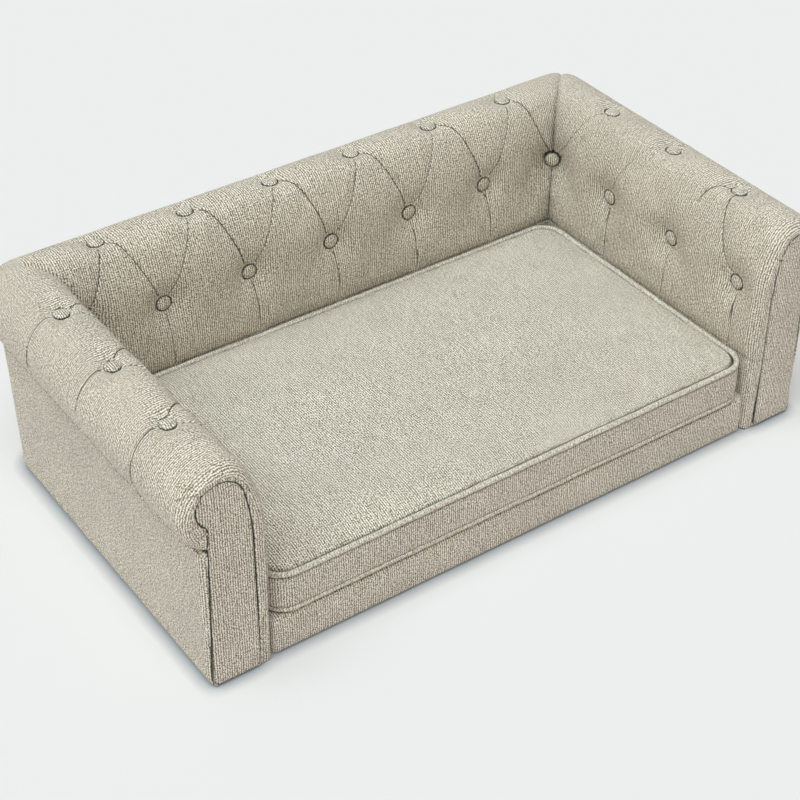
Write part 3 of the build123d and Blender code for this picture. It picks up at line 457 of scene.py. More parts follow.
backPleats = sewnPleats(
    [
        (upperSpot(backUpper[0]), lowerSpot(-faceX), 0.7, 5, 4),
        (upperSpot(backUpper[0]), lowerSpot(backLower[0]), 0.6, 3, 12),
        (upperSpot(backUpper[1]), lowerSpot(backLower[0]), 0.4, 8, 5),
        (upperSpot(backUpper[1]), lowerSpot(backLower[1]), 0.95, 5, 18),
        (upperSpot(backUpper[2]), lowerSpot(backLower[1]), 0.35, 7, 4),
        (upperSpot(backUpper[2]), lowerSpot(backLower[2]), 0.9, 5, 17),
        (upperSpot(backUpper[3]), lowerSpot(backLower[2]), 0.45, 8, 6),
        (upperSpot(backUpper[3]), lowerSpot(backLower[3]), 0.7, 3, 12),
        (upperSpot(backUpper[4]), lowerSpot(backLower[3]), 0.35, 6, 3),
        (upperSpot(backUpper[4]), lowerSpot(backLower[4]), 0.9, 6, 18),
        (upperSpot(backUpper[5]), lowerSpot(backLower[4]), 0.35, 9, 4),
        (upperSpot(backUpper[5]), lowerSpot(faceX), 0.75, 3, 10),
        (lowerSpot(backLower[0]), footSpot(backLower[0] + 3), 0.3, 4, 2),
        (lowerSpot(backLower[1]), footSpot(backLower[1] + 5), 0.75, 9, 4),
        (lowerSpot(backLower[2]), footSpot(backLower[2] + 7), 0.5, 5, 3),
        (lowerSpot(backLower[3]), footSpot(backLower[3] + 6), 0.5, 8, 3),
        (lowerSpot(backLower[4]), footSpot(backLower[4] + 7), 0.5, 7, 4),
    ]
    + [((along + 1, upperRun + 38), seamSpot(along + 4), 0.3, 4, 0) for along in backUpper]
)
rightArmPleats = sewnPleats(
    [
        (upperSpot(armUpper[0]), lowerSpot(faceY), 0.08, -5, -6),
        (upperSpot(armUpper[1]), lowerSpot(armLower[0]), 0.05, 8, 6),
        (upperSpot(armUpper[2]), (armUpper[2] + 32, upperRun - 46), 0.4, 7, 12),
        (upperSpot(armUpper[2]), lowerSpot(armLower[2]), 0.7, 16, 2),
        (lowerSpot(armLower[0]), footSpot(armLower[0] + 3), 1.0, -12, -7),
        (lowerSpot(armLower[1]), footSpot(armLower[1] + 5), 0.06, -8, -5),
        (lowerSpot(armLower[2]), footSpot(armLower[2] + 3), 0.9, -12, -6),
        (upperSpot(armUpper[0]), seamSpot(armUpper[0] - 4), 0.5, -7, -4),
        (upperSpot(armUpper[1]), seamSpot(armUpper[1] - 3), 0.4, -5, -3),
        (upperSpot(armUpper[2]), seamSpot(armUpper[2] - 5), 0.5, -8, -4),
    ]
)
leftArmPleats = sewnPleats(
    [
        (upperSpot(armUpper[0]), lowerSpot(faceY), 0.6, -4, -6),
        (upperSpot(armUpper[0]), lowerSpot(armLower[0]), 0.5, -6, -8),
        (upperSpot(armUpper[1]), lowerSpot(armLower[0]), 0.7, 7, 14),
        (upperSpot(armUpper[1]), lowerSpot(armLower[1]), 0.5, -6, -5),
        (upperSpot(armUpper[2]), lowerSpot(armLower[1]), 0.8, 9, 16),
        (upperSpot(armUpper[2]), lowerSpot(armLower[2]), 0.5, -9, -4),
        (lowerSpot(armLower[0]), footSpot(armLower[0] + 3), 0.7, -9, -6),
        (lowerSpot(armLower[1]), footSpot(armLower[1] + 4), 0.5, -7, -4),
        (lowerSpot(armLower[2]), footSpot(armLower[2] + 3), 0.8, -10, -6),
        (seamSpot(armUpper[0] - 6), upperSpot(armUpper[0]), 1.0, 6, 0),
        (seamSpot(armUpper[1] - 4), upperSpot(armUpper[1]), 0.3, 4, 0),
        (seamSpot(armUpper[2] - 7), upperSpot(armUpper[2]), 1.1, 6, 0),
    ]
)


# Scroll-shaped facings on the fronts of the arms
facing = {
    "innerOut": -27,
    "uprightDrop": 47,
    "headRadius": 27,
    "headOut": 7.5,
    "headRise": 11,
    "neckAngle": -55,
    "footZ": 3,
    "footRadius": 5,
    "footShares": (0.04, 0.14, 0.3, 0.7),  # rows that follow the rounded foot
    "edgeRadius": 1.5,
    "edgeShadeReach": 0.5,
    "rimDepth": 6,  # its sides run back into the crevice
    "crown": 1.0,
    "crownReach": 9,
    "ripple": 0.25,
    "rows": 96,
    "columns": 30,
    "slack": {"right": 1.0, "left": 0.2},  # the crevice round it is this much wider
}
facingTop = rollZ + facing["headRise"] + facing["headRadius"]


# Inner and outer edge of a facing at a height
def facingSides(z):
    uprightTop = rollZ - facing["uprightDrop"]
    headZ = rollZ + facing["headRise"]
    rise = headZ - uprightTop
    head = facing["headRadius"]
    radius = leaningRadius(facing["headOut"] - facing["innerOut"], rise, head)
    lean = math.atan2(rise, facing["innerOut"] + radius - facing["headOut"])
    leanTop = uprightTop + radius * math.sin(lean)
    neckAngle = math.radians(facing["neckAngle"])
    neckOut = facing["headOut"] + head * math.cos(neckAngle)
    neckZ = headZ + head * math.sin(neckAngle)
    circle = np.sqrt(np.clip(head**2 - (z - headZ) ** 2, 0, None))
    leaning = facing["innerOut"] + radius - np.sqrt(radius**2 - np.clip(z - uprightTop, 0, rise) ** 2)
    inner = np.where(z > uprightTop, leaning, facing["innerOut"])
    inner = np.where(z > leanTop, facing["headOut"] - circle, inner)
    sloping = neckOut + (wall["panelOut"] - neckOut) * (neckZ - z) / (neckZ - facing["footZ"])
    outer = np.where(z > neckZ, facing["headOut"] + circle, sloping)
    foot = facing["footRadius"]
    rounded = foot - np.sqrt(foot**2 - np.clip(foot - (z - facing["footZ"]), 0, foot) ** 2)
    return inner + rounded, outer - rounded


# The outline in the front plane, from its inner foot over the head to its outer foot
def facingOutline(count=60):
    rising = np.sin(np.linspace(0, math.pi / 2, count))
    height = facing["footZ"] + (facingTop - facing["footZ"]) * rising
    inner, outer = facingSides(height)
    return list(zip(inner, height)) + list(zip(outer[-2::-1], height[-2::-1]))


# Short tucks that gather the padding round a facing's head
tuck = {
    # Degrees from the top, and depth in mm
    "places": ((-62, 1.7), (-22, 0.9), (38, 2.1), (92, 1.9), (118, 2.3), (140, 2.0)),
    "width": 1.3,
    "slant": 0.2,
    "lipShare": 0.4,  # the linen stands up beside a tuck
    "lipShift": 3.4,
    "lipWidth": 2.6,
    "headDrop": 62,  # there are none farther under the roll's middle
    "headRun": 10,
    "length": 12,
    "startGap": 3.2,
}


# How far the padding round a facing stands in front of the arm's plain front, in mm
def frontPush(out, z, seed, rolledIn=1, footBulge=wall["footBulge"], crevice=wall["crevice"], tucks=1):
    gap, _, _ = distanceToPath(out, z, facingOutline())
    inner, outer = facingSides(z)
    inside = (out > inner) & (out < outer) & (z < facingTop)
    rising = 1 - rolledIn * np.where(inside, 1, bell(np.maximum(gap - crevice[0], 0), crevice[1]))
    push = np.interp(z, wall["bulgeHeights"], (footBulge, wall["borderBulge"]))
    push = push + wall["borderRipple"] * softNoise(out, z * 0.7, 18, seed)
    nearHead = tucks * ramp((z - rollZ + tuck["headDrop"]) / tuck["headRun"])
    for degrees, depth in tuck["places"]:
        turned = np.arctan2(out, z - rollZ) - math.radians(degrees + seed % 5)
        across = turned * np.hypot(out, z - rollZ) - tuck["slant"] * gap
        lip = tuck["lipShare"] * bell(across - tuck["lipShift"], tuck["lipWidth"])
        push = push + nearHead * depth * (lip - bell(across, tuck["width"]))
    return wall["borderClear"] + push * rising


# Columns of a wall's grid as arrays: along, fan, turn, sign, inset and front angle
def columnTable(entries):
    names = ("along", "fan", "turn", "sign", "inset", "front")
    return dict(zip(names, np.array(entries, float).T[:, None, :]))


# Columns that spread to the mitre of a back corner and then turn with the roll
def cornerColumns(sign):
    fanCount = int(wall["fanRun"] * 1.5 / wall["cornerStep"])
    turnCount = int(wall["rollRadius"] * math.pi / 4 / wall["cornerStep"])
    entries = [(0, (index + 1) / fanCount, 0, sign, 0, 0) for index in range(fanCount)]
    return entries + [(0, 1, (index + 1) / turnCount * math.pi / 4, sign, 0, 0) for index in range(turnCount)]


def straightColumns(start, end, count=None):
    count = count or int(round(abs(end - start) / wall["step"]))
    return [(start + (end - start) * index / count, 0, 0, 1, 0, 0) for index in range(count + 1)]


# From the mitre of the back corner to the border round the facing
def armColumns(radius, borderRun, turnCount, borderCount, straightCount=None):
    end = armFrontY + radius
    entries = cornerColumns(1)[::-1] + straightColumns(faceY - wall["fanRun"], end, straightCount)
    for index in range(1, turnCount + 1):
        angle = index / turnCount * math.pi / 2
        entries.append((end, 0, 0, 1, radius * (1 - math.cos(angle)), angle))
    for index in range(1, borderCount + 1):
        entries.append((end, 0, 0, 1, radius + borderRun * index / borderCount, math.pi / 2))
    return columnTable(entries)


# From one mitre of the back to the other
def backColumns(count=None):
    run = faceX - wall["fanRun"]
    return columnTable(cornerColumns(-1)[::-1] + straightColumns(-run, run, count) + cornerColumns(1))


# How far the weave has run round the front edge
def edgeArc(columns, radius):
    onBorder = columns["front"] > 1.57  # past the quarter turn
    border = np.where(onBorder, columns["inset"] + radius * (math.pi / 2 - 1), 0)
    return np.maximum(border, radius * columns["front"])


# Where points of a wall lie along it and outward, at its straight run and round its back corner
def wallSpots(columns, out, corner):
    fanStart = corner + wall["faceOut"] - wall["fanRun"]
    limit = corner + np.minimum(out, 0)
    reach = np.where(columns["fan"] > 0, fanStart + columns["fan"] * (limit - fanStart), columns["along"])
    rolled = np.maximum(out, 0)
    turned = columns["turn"] > 0
    reach = reach + np.where(turned, rolled * np.sin(columns["turn"]), 0)
    out = np.where(turned, np.minimum(out, 0) + rolled * np.cos(columns["turn"]), out)
    return columns["sign"] * reach, out


# Runs of the rows of a wall's grid, the same for all three walls so that their mitres meet
def wallRuns(lowRun):
    count = int(round((profileEnd - lowRun) / wall["step"]))
    return np.linspace(lowRun, profileEnd, count + 1)[:, None]


# The sewn mitre of a back corner draws in along its line
def creaseDepth(gap):
    line = wall["mitreDepth"] * bell(gap, wall["mitreWidth"])
    return line + wall["mitreHollow"] * bell(gap, wall["mitreReach"])


# Distance from the mitre for the columns that spread to it
def mitreGap(columns, out, along, corner):
    rolled = np.maximum(out, 0)
    inner = corner + np.minimum(out, 0) - np.abs(along) + rolled * math.pi / 4
    gap = np.where(columns["turn"] > 0, rolled * (math.pi / 4 - columns["turn"]), inner)
    return np.where(columns["fan"] + columns["turn"] > 0, np.maximum(gap, 0), 99)


# The crease that the cushion's cord presses into a wall
def cordMark(run):
    return bell(run - cordZ, wall["cordMarkWidth"])


# The padding is pressed flat beside the cushion, and flattens towards the seam under the roll
def easedHeight(height, run):
    pressed = ramp((cordZ + wall["pressedAbove"] - run) / wall["pressedRun"])
    height = height * (1 - pressed) - wall["pressedDepth"] * pressed - wall["cordMarkDepth"] * cordMark(run)
    least = wall["seamShare"]
    return height * (least + (1 - least) * ramp((profileEnd - run) / wall["seamRun"]))


# The tufted linen of one wall, from the deck up the seat face and over the roll to its seam
def paddedWall(name, columns, corner, buttons, pleats, toWorld, seed, flip):
    runs = wallRuns(coverFootZ)
    out, z, normalOut, normalZ = wallProfile(runs)
    shape = np.zeros((len(runs), columns["along"].shape[1]))
    along, _ = wallSpots(columns, out + shape, corner)
    unrolled = columns["turn"] * wall["rollRadius"] - np.maximum(out, 0) * np.sin(columns["turn"])
    weaveAlong = along + columns["sign"] * unrolled
    fromMitre = mitreGap(columns, out + shape, along, corner)
    height = tuftedHeight(along, runs + shape, buttons, pleats, seed)
    height = easedHeight(height - creaseDepth(fromMitre), runs)
    raised = height * np.cos(columns["front"]) - columns["inset"]
    zNow = z + raised * normalZ
    place, outNow = wallSpots(columns, out + raised * normalOut, corner)
    border = np.sin(columns["front"])
    onFront = columns["front"][0] > 0
    push = np.zeros(shape.shape)
    push[:, onFront] = frontPush(outNow[:, onFront], zNow[:, onFront], seed)
    push = border**3 * push
    place = place - border * wall["frontRadius"] - push
    points = np.stack(toWorld(place, outNow, zNow + shape), axis=-1)
    follow = edgeArc(columns, wall["frontRadius"]) + wall["followShare"] * push
    weave = np.stack([weaveAlong - follow, runs + shape], axis=-1)
    # Painted shade: the colour darkens at the seam under the roll, along the cord's crease and in the back
    # corners
    paintedShade = ramp(runs - profileEnd + 1.2) + wall["cordMarkShade"] * cordMark(runs) + shape
    mitre = wall["mitreShade"] * bell(fromMitre, wall["mitreShadeReach"])
    paintedShade = paintedShade + mitre * ramp((profileTop - runs) / wall["mitreShadeRun"])
    faces = gridFaces(*shape.shape)
    rowOf, columnOf = np.divmod(np.arange(len(faces)), shape.shape[1] - 1)
    faces = faces[(runs[rowOf + 1, 0] > deckZ - 12) | onFront[columnOf]]
    return makeMesh(name, points, faces[:, ::-1] if flip else faces, weave, paintedShade)


# The folded edges of a wall's pleats and of the linen gathered round its buttons
def wallFolds(name, mirrored, corner, buttons, pleats, toWorld, seed, flip):

    def place(along, run, lift):
        out, z, normalOut, normalZ = wallProfile(run)
        side = np.sign(along) if mirrored else 1
        limit = corner + np.minimum(out, 0)
        gap = np.maximum(limit - side * along + np.maximum(out, 0) * math.pi / 4, 0)
        height = tuftedHeight(along, run, buttons, pleats, seed, 0) - creaseDepth(gap)
        height = easedHeight(height, run) + lift
        outNow = out + height * normalOut
        fanStart = corner + wall["faceOut"] - wall["fanRun"]
        fan = ramp((side * along - fanStart) / (limit - fanStart))
        shift = fan * (np.minimum(outNow, 0) - np.minimum(out, 0))
        return toWorld(along + side * shift, outNow, z + height * normalZ)

    strips = []
    share = np.linspace(0, 1, 61)
    for path, strength in pleats:
        known = np.linspace(0, 1, len(path))
        path = np.column_stack([np.interp(share, known, spots) for spots in path.T])
        toButton = np.min([np.hypot(*(path - spot[:2]).T) for spot in buttons], axis=0)
        shown = toButton > tufting["collarRadius"] + 0.5
        strips.append(foldStrip(path[shown], pleatFold, place, np.sqrt(pleatFade(strength, share[shown]))))
    turn = np.linspace(0, -math.tau, 49)
    for along, run, _, _, creaseShare in buttons:
        if creaseShare == 1:
            radius = tufting["collarRadius"]
            ring = np.column_stack([along + radius * np.cos(turn), run + radius * np.sin(turn)])
            ring[-1] = ring[0]
            strips.append(foldStrip(ring, collarFold, place))
    return stripMesh(name, strips, not flip)


# The padding's rolled edge beside a facing: (distance from the facing, height over the padding)
frontFold = ((5.9, -0.5), (4.3, 0), (3.1, 0.25), (2.1, 0.2), (1.2, -0.25), (0.6, -1.3), (0.4, -3), (0.3, -6))
lipDrop = 36  # outside, it ends this far under the roll's middle
# Cross-section of a tuck
tuckFold = (
    (4, -0.6), (2.6, 0.1), (1.2, 0.4), (0.4, 0.3), (0.1, 0), (0, -0.7), (-0.05, -1.7),
    (-0.6, -1.7), (-0.65, -0.6), (-1.1, -0.1), (-2.4, 0.05), (-4, -0.6),
)


# The lip of the crevice round a facing, slack mm wider, and the tucks that run out from it
def frontFolds(name, toWorld, seed, flip, slack):
    half = 150
    outline = facingOutline(half)
    lip = outline[:half] + [spot for spot in outline[half:] if spot[1] > rollZ - lipDrop]
    edge = list(zip(*(values.tolist() for values in wallProfile(np.linspace(deckZ, profileEnd, 160))[:2])))

    def place(out, z, lift):
        z = np.maximum(z, coverFootZ)
        return toWorld(armFrontY - frontPush(out, z, seed, 0) - lift, out, z)

    def placeTuck(out, z, lift):
        inset, _, _ = distanceToPath(out, z, edge)
        rounded = np.sqrt(1 - (1 - ramp(inset / wall["frontRadius"])) ** 2)
        back = wall["frontRadius"] * (1 - rounded)
        push = rounded**3 * frontPush(out, z, seed, 0, tucks=0)
        return toWorld(armFrontY + back - push - lift, out, z)

    strips = [foldStrip(lip, [(away + slack, lift) for away, lift in frontFold], place)]
    turns = np.array([math.atan2(out, z - rollZ) for out, z in outline])
    for degrees, depth in tuck["places"]:
        turn = math.radians(degrees + seed % 5)
        start = np.array(outline[int(np.argmin(np.abs(turns - turn)))])
        ahead = np.array([math.sin(turn), math.cos(turn)])
        end = start + tuck["length"] * (0.5 + depth / 4) * ahead
        path = bentPath(start + tuck["startGap"] * ahead, end, 1.5, -0.8)
        share = np.linspace(0, 1, len(path))
        strength = min(depth / 2, 1) * ramp(np.minimum(7 * share, 1.6 - 1.6 * share))
        strips.append(foldStrip(path, tuckFold, placeTuck, strength))
    return stripMesh(name, strips, flip)


def buildWalls(material):
    backButtons = buttonHollows(backLower, "lower", lowerRun) + buttonHollows(backUpper, "upper", upperRun)
    backButtons += buttonHollows((-faceX, faceX), "corner", lowerRun, tufting["cornerCreaseShare"])
    armButtons = buttonHollows(armLower, "lower", lowerRun) + buttonHollows(armUpper, "upper", upperRun)
    armButtons += buttonHollows((faceY,), "corner", lowerRun, tufting["cornerCreaseShare"])
    sideColumns = armColumns(wall["frontRadius"], wall["borderRun"], 8, 11)
    walls = (
        ("back", "back", backColumns(), rollX, backButtons, backPleats, 3),
        ("right", "right_arm", sideColumns, rollY, armButtons, rightArmPleats, 11),
        ("left", "left_arm", sideColumns, rollY, armButtons, leftArmPleats, 23),
    )
    for side, wallName, columns, corner, buttons, pleats, seed in walls:
        flip = side == "left"
        placing = (corner, buttons, pleats, toSofa[side], seed, flip)
        meshes = [paddedWall(side, columns, *placing), wallFolds(side, side == "back", *placing)]
        if side != "back":
            meshes.append(frontFolds(f"{side} front", toSofa[side], seed, not flip, facing["slack"][side]))
        inside = (f"{wallName}_cover", f"{wallName}_foam", f"{side}_roll_foam")
        piece = makePiece(f"{wallName}_padded_cover", meshes, material, "sofa_frame", inside)


# Plain linen panels on the outside of the arms and the back
outerPanel = {
    "hemRadius": 3,
    "frontRadius": 4,
    "frontRun": 9,  # turned in behind the facing
    "crevice": (0.3, 0.7),
    "frontFade": 60,  # the padding thins towards its front edge
    "footBulge": 6.6,  # nearly level with the facing
    "topTuck": 5,  # drawn in to the seam under the roll
    "topRun": 8,
    "topGap": 1,
    "footEase": 9,  # the padding thins towards the foot and the seam
    "topEase": 7,
    "step": 5,
    "puff": 3.2,
    "topPuff": 2.6,  # the padding is fuller under the roll
    "ripple": 0.5,
    "rippleSize": 40,
}


# A flat side or rear cover from its hem to the seam under the roll, with painted shade at that seam and in
# the crevice beside a facing
def outerCover(name, columns, corner, toWorld, seed, flip):
    hem, panelOut = outerPanel["hemRadius"], wall["panelOut"]
    seamZ = rollZ - math.sqrt(wall["rollRadius"] ** 2 - panelOut**2)
    tuckZ = seamZ - outerPanel["topRun"]
    rows = []
    for angle in np.linspace(0, math.pi / 2, 5):
        rows.append((panelOut - hem * (1 - math.sin(angle)), coverFootZ + hem * (1 - math.cos(angle)), 0))
    straightCount = int((tuckZ - coverFootZ - hem) / outerPanel["step"])
    rows += [(panelOut, level, 0) for level in np.linspace(coverFootZ + hem, tuckZ, straightCount)[1:]]
    for share in np.linspace(0, 1, 9)[1:]:
        level = tuckZ + (outerPanel["topRun"] - outerPanel["topGap"]) * share
        rows.append((panelOut - outerPanel["topTuck"] * share**2.2, level, max(share * 4 - 3, 0)))
    out, z, paintedShade = (np.array(values)[:, None] for values in zip(*rows))
    shape = np.zeros((len(rows), columns["along"].shape[1]))
    along, _ = wallSpots(columns, out + shape, corner)
    edges = ramp((z - coverFootZ) / outerPanel["footEase"]) * ramp((seamZ - z) / outerPanel["topEase"])
    puff = outerPanel["puff"] + outerPanel["topPuff"] * ramp(z / seamZ) ** 2
    border = np.sin(columns["front"])
    if border.max() > 0:
        fade = ramp((along - armFrontY) / outerPanel["frontFade"])
        puff = outerPanel["puff"] + (puff - outerPanel["puff"]) * fade
    height = puff * np.sin(math.pi / 2 * edges)
    height = height + outerPanel["ripple"] * softNoise(along, z * 0.4, outerPanel["rippleSize"], seed) * edges
    outNow = out + height * np.cos(columns["front"]) - columns["inset"]
    place, outNow = wallSpots(columns, outNow, corner)
    push = 0
    paintedShade = paintedShade + shape
    if border.max() > 0:
        crevice = outerPanel["crevice"]
        push = border * frontPush(outNow + shape, z + shape, seed, 1, outerPanel["footBulge"], crevice)
        gap, _, _ = distanceToPath(outNow + shape, z + shape, facingOutline())
        paintedShade = np.maximum(paintedShade, border**3 * bell(gap, sum(crevice)))
    place = place - border * outerPanel["frontRadius"] - push
    points = np.stack(toWorld(place, outNow, z + shape), axis=-1)
    weaveAlong = along + columns["sign"] * columns["turn"] * panelOut * 0.3
    follow = edgeArc(columns, outerPanel["frontRadius"]) + wall["followShare"] * push
    weave = np.stack([weaveAlong - follow, z + shape], axis=-1)
    return gridMesh(name, points, weave, not flip, paintedShade)


def buildOuterCovers(material):
    sideColumns = armColumns(outerPanel["frontRadius"], outerPanel["frontRun"], 10, 9, 79)
    panels = (
        ("rear", "back", backColumns(119), rollX, 5),
        ("right", "right", sideColumns, rollY, 6),
        ("left", "left", sideColumns, rollY, 7),
    )
    for name, side, columns, corner, seed in panels:
        mesh = outerCover(name, columns, corner, toSofa[side], seed, side != "left")
        makePiece(f"{name}_outer_panel", [mesh], material, "sofa_frame", (f"{name}_outer_cover",))


# A facing's linen over its rounded edges, and its rim back into the crevice, with painted shade along its
# edge and on its rim
def facingCover(name, side, seed):
    share = np.linspace(0, 1, facing["rows"])
    share = 0.35 * (1 - np.cos(math.pi * share)) / 2 + 0.65 * np.sin(math.pi / 2 * share)  # closer at the top
    height = facing["footZ"] + (facingTop - facing["footZ"]) * share
    footRows = facing["footZ"] + facing["footRadius"] * np.array(facing["footShares"])
    height = np.sort(np.concatenate([height, footRows]))
    inner, outer = facingSides(height)
    across = (1 - np.cos(math.pi * np.linspace(0, 1, facing["columns"]))) / 2
    out = inner[:, None] + (outer - inner)[:, None] * across[None, :]
    z = np.repeat(height[:, None], facing["columns"], axis=1)
    outline = facingOutline()
    edge, _, _ = distanceToPath(out, z, outline + outline[:1])
    radius = facing["edgeRadius"]
    rounding = radius - np.sqrt(np.clip(radius**2 - np.clip(radius - edge, 0, radius) ** 2, 0, None))
    crown = facing["crown"] * bell(edge, facing["crownReach"])
    ripple = facing["ripple"] * softNoise(out, z * 0.5, 16, seed) * ramp(edge / 4)
    y = armFrontY - wall["facingThickness"] + rounding + crown + ripple
    out = np.pad(out, 2, mode="edge")
    z = np.pad(z, 2, mode="edge")
    paintedShade = bell(edge, facing["edgeShadeReach"])
    weave = np.stack([out, z], axis=-1)
    rim = wall["facingThickness"] + facing["rimDepth"]
    for ring, depth, shade in ((1, facing["edgeRadius"] + 1, 0.9), (0, rim, 1)):
        y = np.pad(y, 1, constant_values=armFrontY - wall["facingThickness"] + depth)
        paintedShade = np.pad(paintedShade, 1, constant_values=shade)
        weave[:, ring, 0] -= depth
        weave[:, -1 - ring, 0] += depth
        weave[ring, :, 1] -= depth
        weave[-1 - ring, :, 1] += depth
    points = np.stack([side * (rollX + out), y, z], axis=-1)
    return gridMesh(name, points, weave, side < 0, paintedShade)


def buildFacings(material):
    for side, name in ((-1, "left"), (1, "right")):
        mesh = facingCover(name, side, 31 + side)
        makePiece(f"{name}_facing", [mesh], material, "sofa_frame", (f"{name}_facing_cover",))


# The upholstered rail under the cushion
railCover = {
    "edgeRadius": 5,
    "hemRadius": 3,
    "topLift": 0.2,
    "deckRows": (8, -5),  # its first rows, behind and before the rail's back edge
    "puff": 0.8,
    "ripple": 0.5,
    "rippleSize": 60,
    "step": 5,
    "endRadius": 7,  # it rounds back where it meets the arms
    "endDepth": 14,
    "endOverlap": 2,
}


def buildRailCover(material):
    low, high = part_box("front_rail_cover")
    backY, frontY = high[1] / mm, low[1] / mm
    footZ, railTop = low[2] / mm, high[2] / mm
    edge, hem = railCover["edgeRadius"], railCover["hemRadius"]
    rows = [(backY + reach, railTop + railCover["topLift"]) for reach in railCover["deckRows"]]
    for angle in np.linspace(0, math.pi / 2, 6):
        rows.append((frontY + edge * (1 - math.sin(angle)), railTop - edge * (1 - math.cos(angle))))
    rows += [(frontY, level) for level in np.linspace(railTop - edge, footZ + hem, 10)[1:]]
    for angle in np.linspace(0, math.pi / 2, 5)[1:]:
        rows.append((frontY + hem * (1 - math.cos(angle)), footZ + hem * (1 - math.sin(angle))))
    y, z = (np.array(values)[:, None] for values in zip(*rows))
    radius = railCover["endRadius"]
    reach = high[0] / mm + railCover["endOverlap"]
    ends = reach - radius * (1 - np.sin(np.linspace(0, math.pi / 2, 9)))
    between = np.linspace(-reach + radius, reach - radius, int(2 * reach / railCover["step"]))[1:-1]
    x = np.concatenate([-ends[::-1], between, ends])[None, :]
    turnedBack = 1 - np.sqrt(1 - ramp((np.abs(x) - reach + radius) / radius) ** 2)
    run = np.concatenate([[0], np.cumsum(np.hypot(np.diff(y[:, 0]), np.diff(z[:, 0])))])[:, None]
    onFront = ramp((backY - y) / (backY - frontY)) ** 4
    middle = np.sin(math.pi * ramp((z - footZ) / (railTop - footZ)))
    ripple = railCover["ripple"] * softNoise(x, z, railCover["rippleSize"], 41)
    y = y - onFront * middle * (railCover["puff"] + ripple) + railCover["endDepth"] * turnedBack * onFront
    points = np.stack(np.broadcast_arrays(x, y, z), axis=-1)
    along = x + np.sign(x) * wall["followShare"] * railCover["endDepth"] * turnedBack
    weave = np.stack(np.broadcast_arrays(along, -run), axis=-1)
    mesh = gridMesh("rail", points, weave, True)
    makePiece("front_rail_linen", [mesh], material, "sofa_frame", ("front_rail_cover",))


# Covered buttons. The profile is (distance from the axis, height over the button's seat)
button = {
    "profile": (
        (8.6, -0.5), (9.7, 0.2), (9.8, 3.0), (9.75, 3.7), (9.4, 4.4),
        (8.6, 5.0), (7.2, 5.6), (5.2, 6.2), (2.6, 6.7),
    ),
    "topHeight": 6.9,
    # painted shade darkens the button's side below rimHeight
    "rimHeight": 4.9,  # below this its side is in the crevice
    "rimRadius": 6,  # outside this the linen is gathered
    "segments": 36,
    "gathers": 11,  # small folds where the linen is drawn round the rim
    "gatherDepth": 0.22,
    "lowerSeat": 14,
    "upperSeat": 11.1,
    "cornerSeat": 16,
}


# A domed button whose linen is gathered at the rim, seated in its hollow
def buttonMesh(name, origin, normal, seatDepth, seed):
    normal = np.array(normal, float) / np.linalg.norm(normal)
    helper = np.array([0, 0, 1.0]) if abs(normal[2]) < 0.5 else np.array([0, 1.0, 0])
    sideways = np.cross(helper, normal)
    sideways /= np.linalg.norm(sideways)
    upward = np.cross(normal, sideways)
    turn = np.linspace(0, math.tau, button["segments"] + 1)[None, :]
    radius, height = (np.array(values)[:, None] for values in zip(*button["profile"]))
    gathered = ramp((radius - button["rimRadius"]) / 5) * button["gatherDepth"]
    radius = radius - gathered * (1 + np.sin(turn * button["gathers"] + seed))
    height = height + 0 * turn - gathered * np.sin(turn * button["gathers"] * 2 + seed)
    radius = np.vstack([radius, np.zeros_like(turn)])
    height = np.vstack([height, np.full_like(turn, button["topHeight"])])
    across, up = radius * np.cos(turn), radius * np.sin(turn)
    seat = np.array(origin) - normal * seatDepth
    points = seat + across[..., None] * sideways + up[..., None] * upward + height[..., None] * normal
    weave = np.stack([across + seed * 37, up + seed * 11], axis=-1)
    # Painted shade on the rim's side, down in the crevice
    paintedShade = ramp((button["rimHeight"] - height) / 0.5) * (radius > button["rimRadius"])
    return gridMesh(name, points, weave, paintedShade=paintedShade)


def buildButtons(material):
    upperZ = rollZ + math.sqrt(wall["rollRadius"] ** 2 - upperOut**2)
    lower, upper, corner = (button[f"{row}Seat"] for row in ("lower", "upper", "corner"))
    groups = {
        "back_lower": [((x, faceY, lowerRun), (0, -1, 0), lower) for x in backLower],
        "back_upper": [((x, rollY + upperOut, upperZ), (0, 0, 1), upper) for x in backUpper],
        "corner": [((side * faceX, faceY, lowerRun), (-side, -1, 0), corner) for side in (-1, 1)],
    }
    for side, name in ((-1, "left"), (1, "right")):
        places = [((side * faceX, y, lowerRun), (-side, 0, 0), lower) for y in armLower]
        places += [((side * (rollX + upperOut), y, upperZ), (0, 0, 1), upper) for y in armUpper]
        groups[f"{name}_arm"] = places
    for name, places in groups.items():
        parts = [buttonMesh(name, *place, seed) for seed, place in enumerate(places)]
        makePiece(f"{name}_button_covers", parts, material, "sofa_frame", (f"{name}_buttons",))


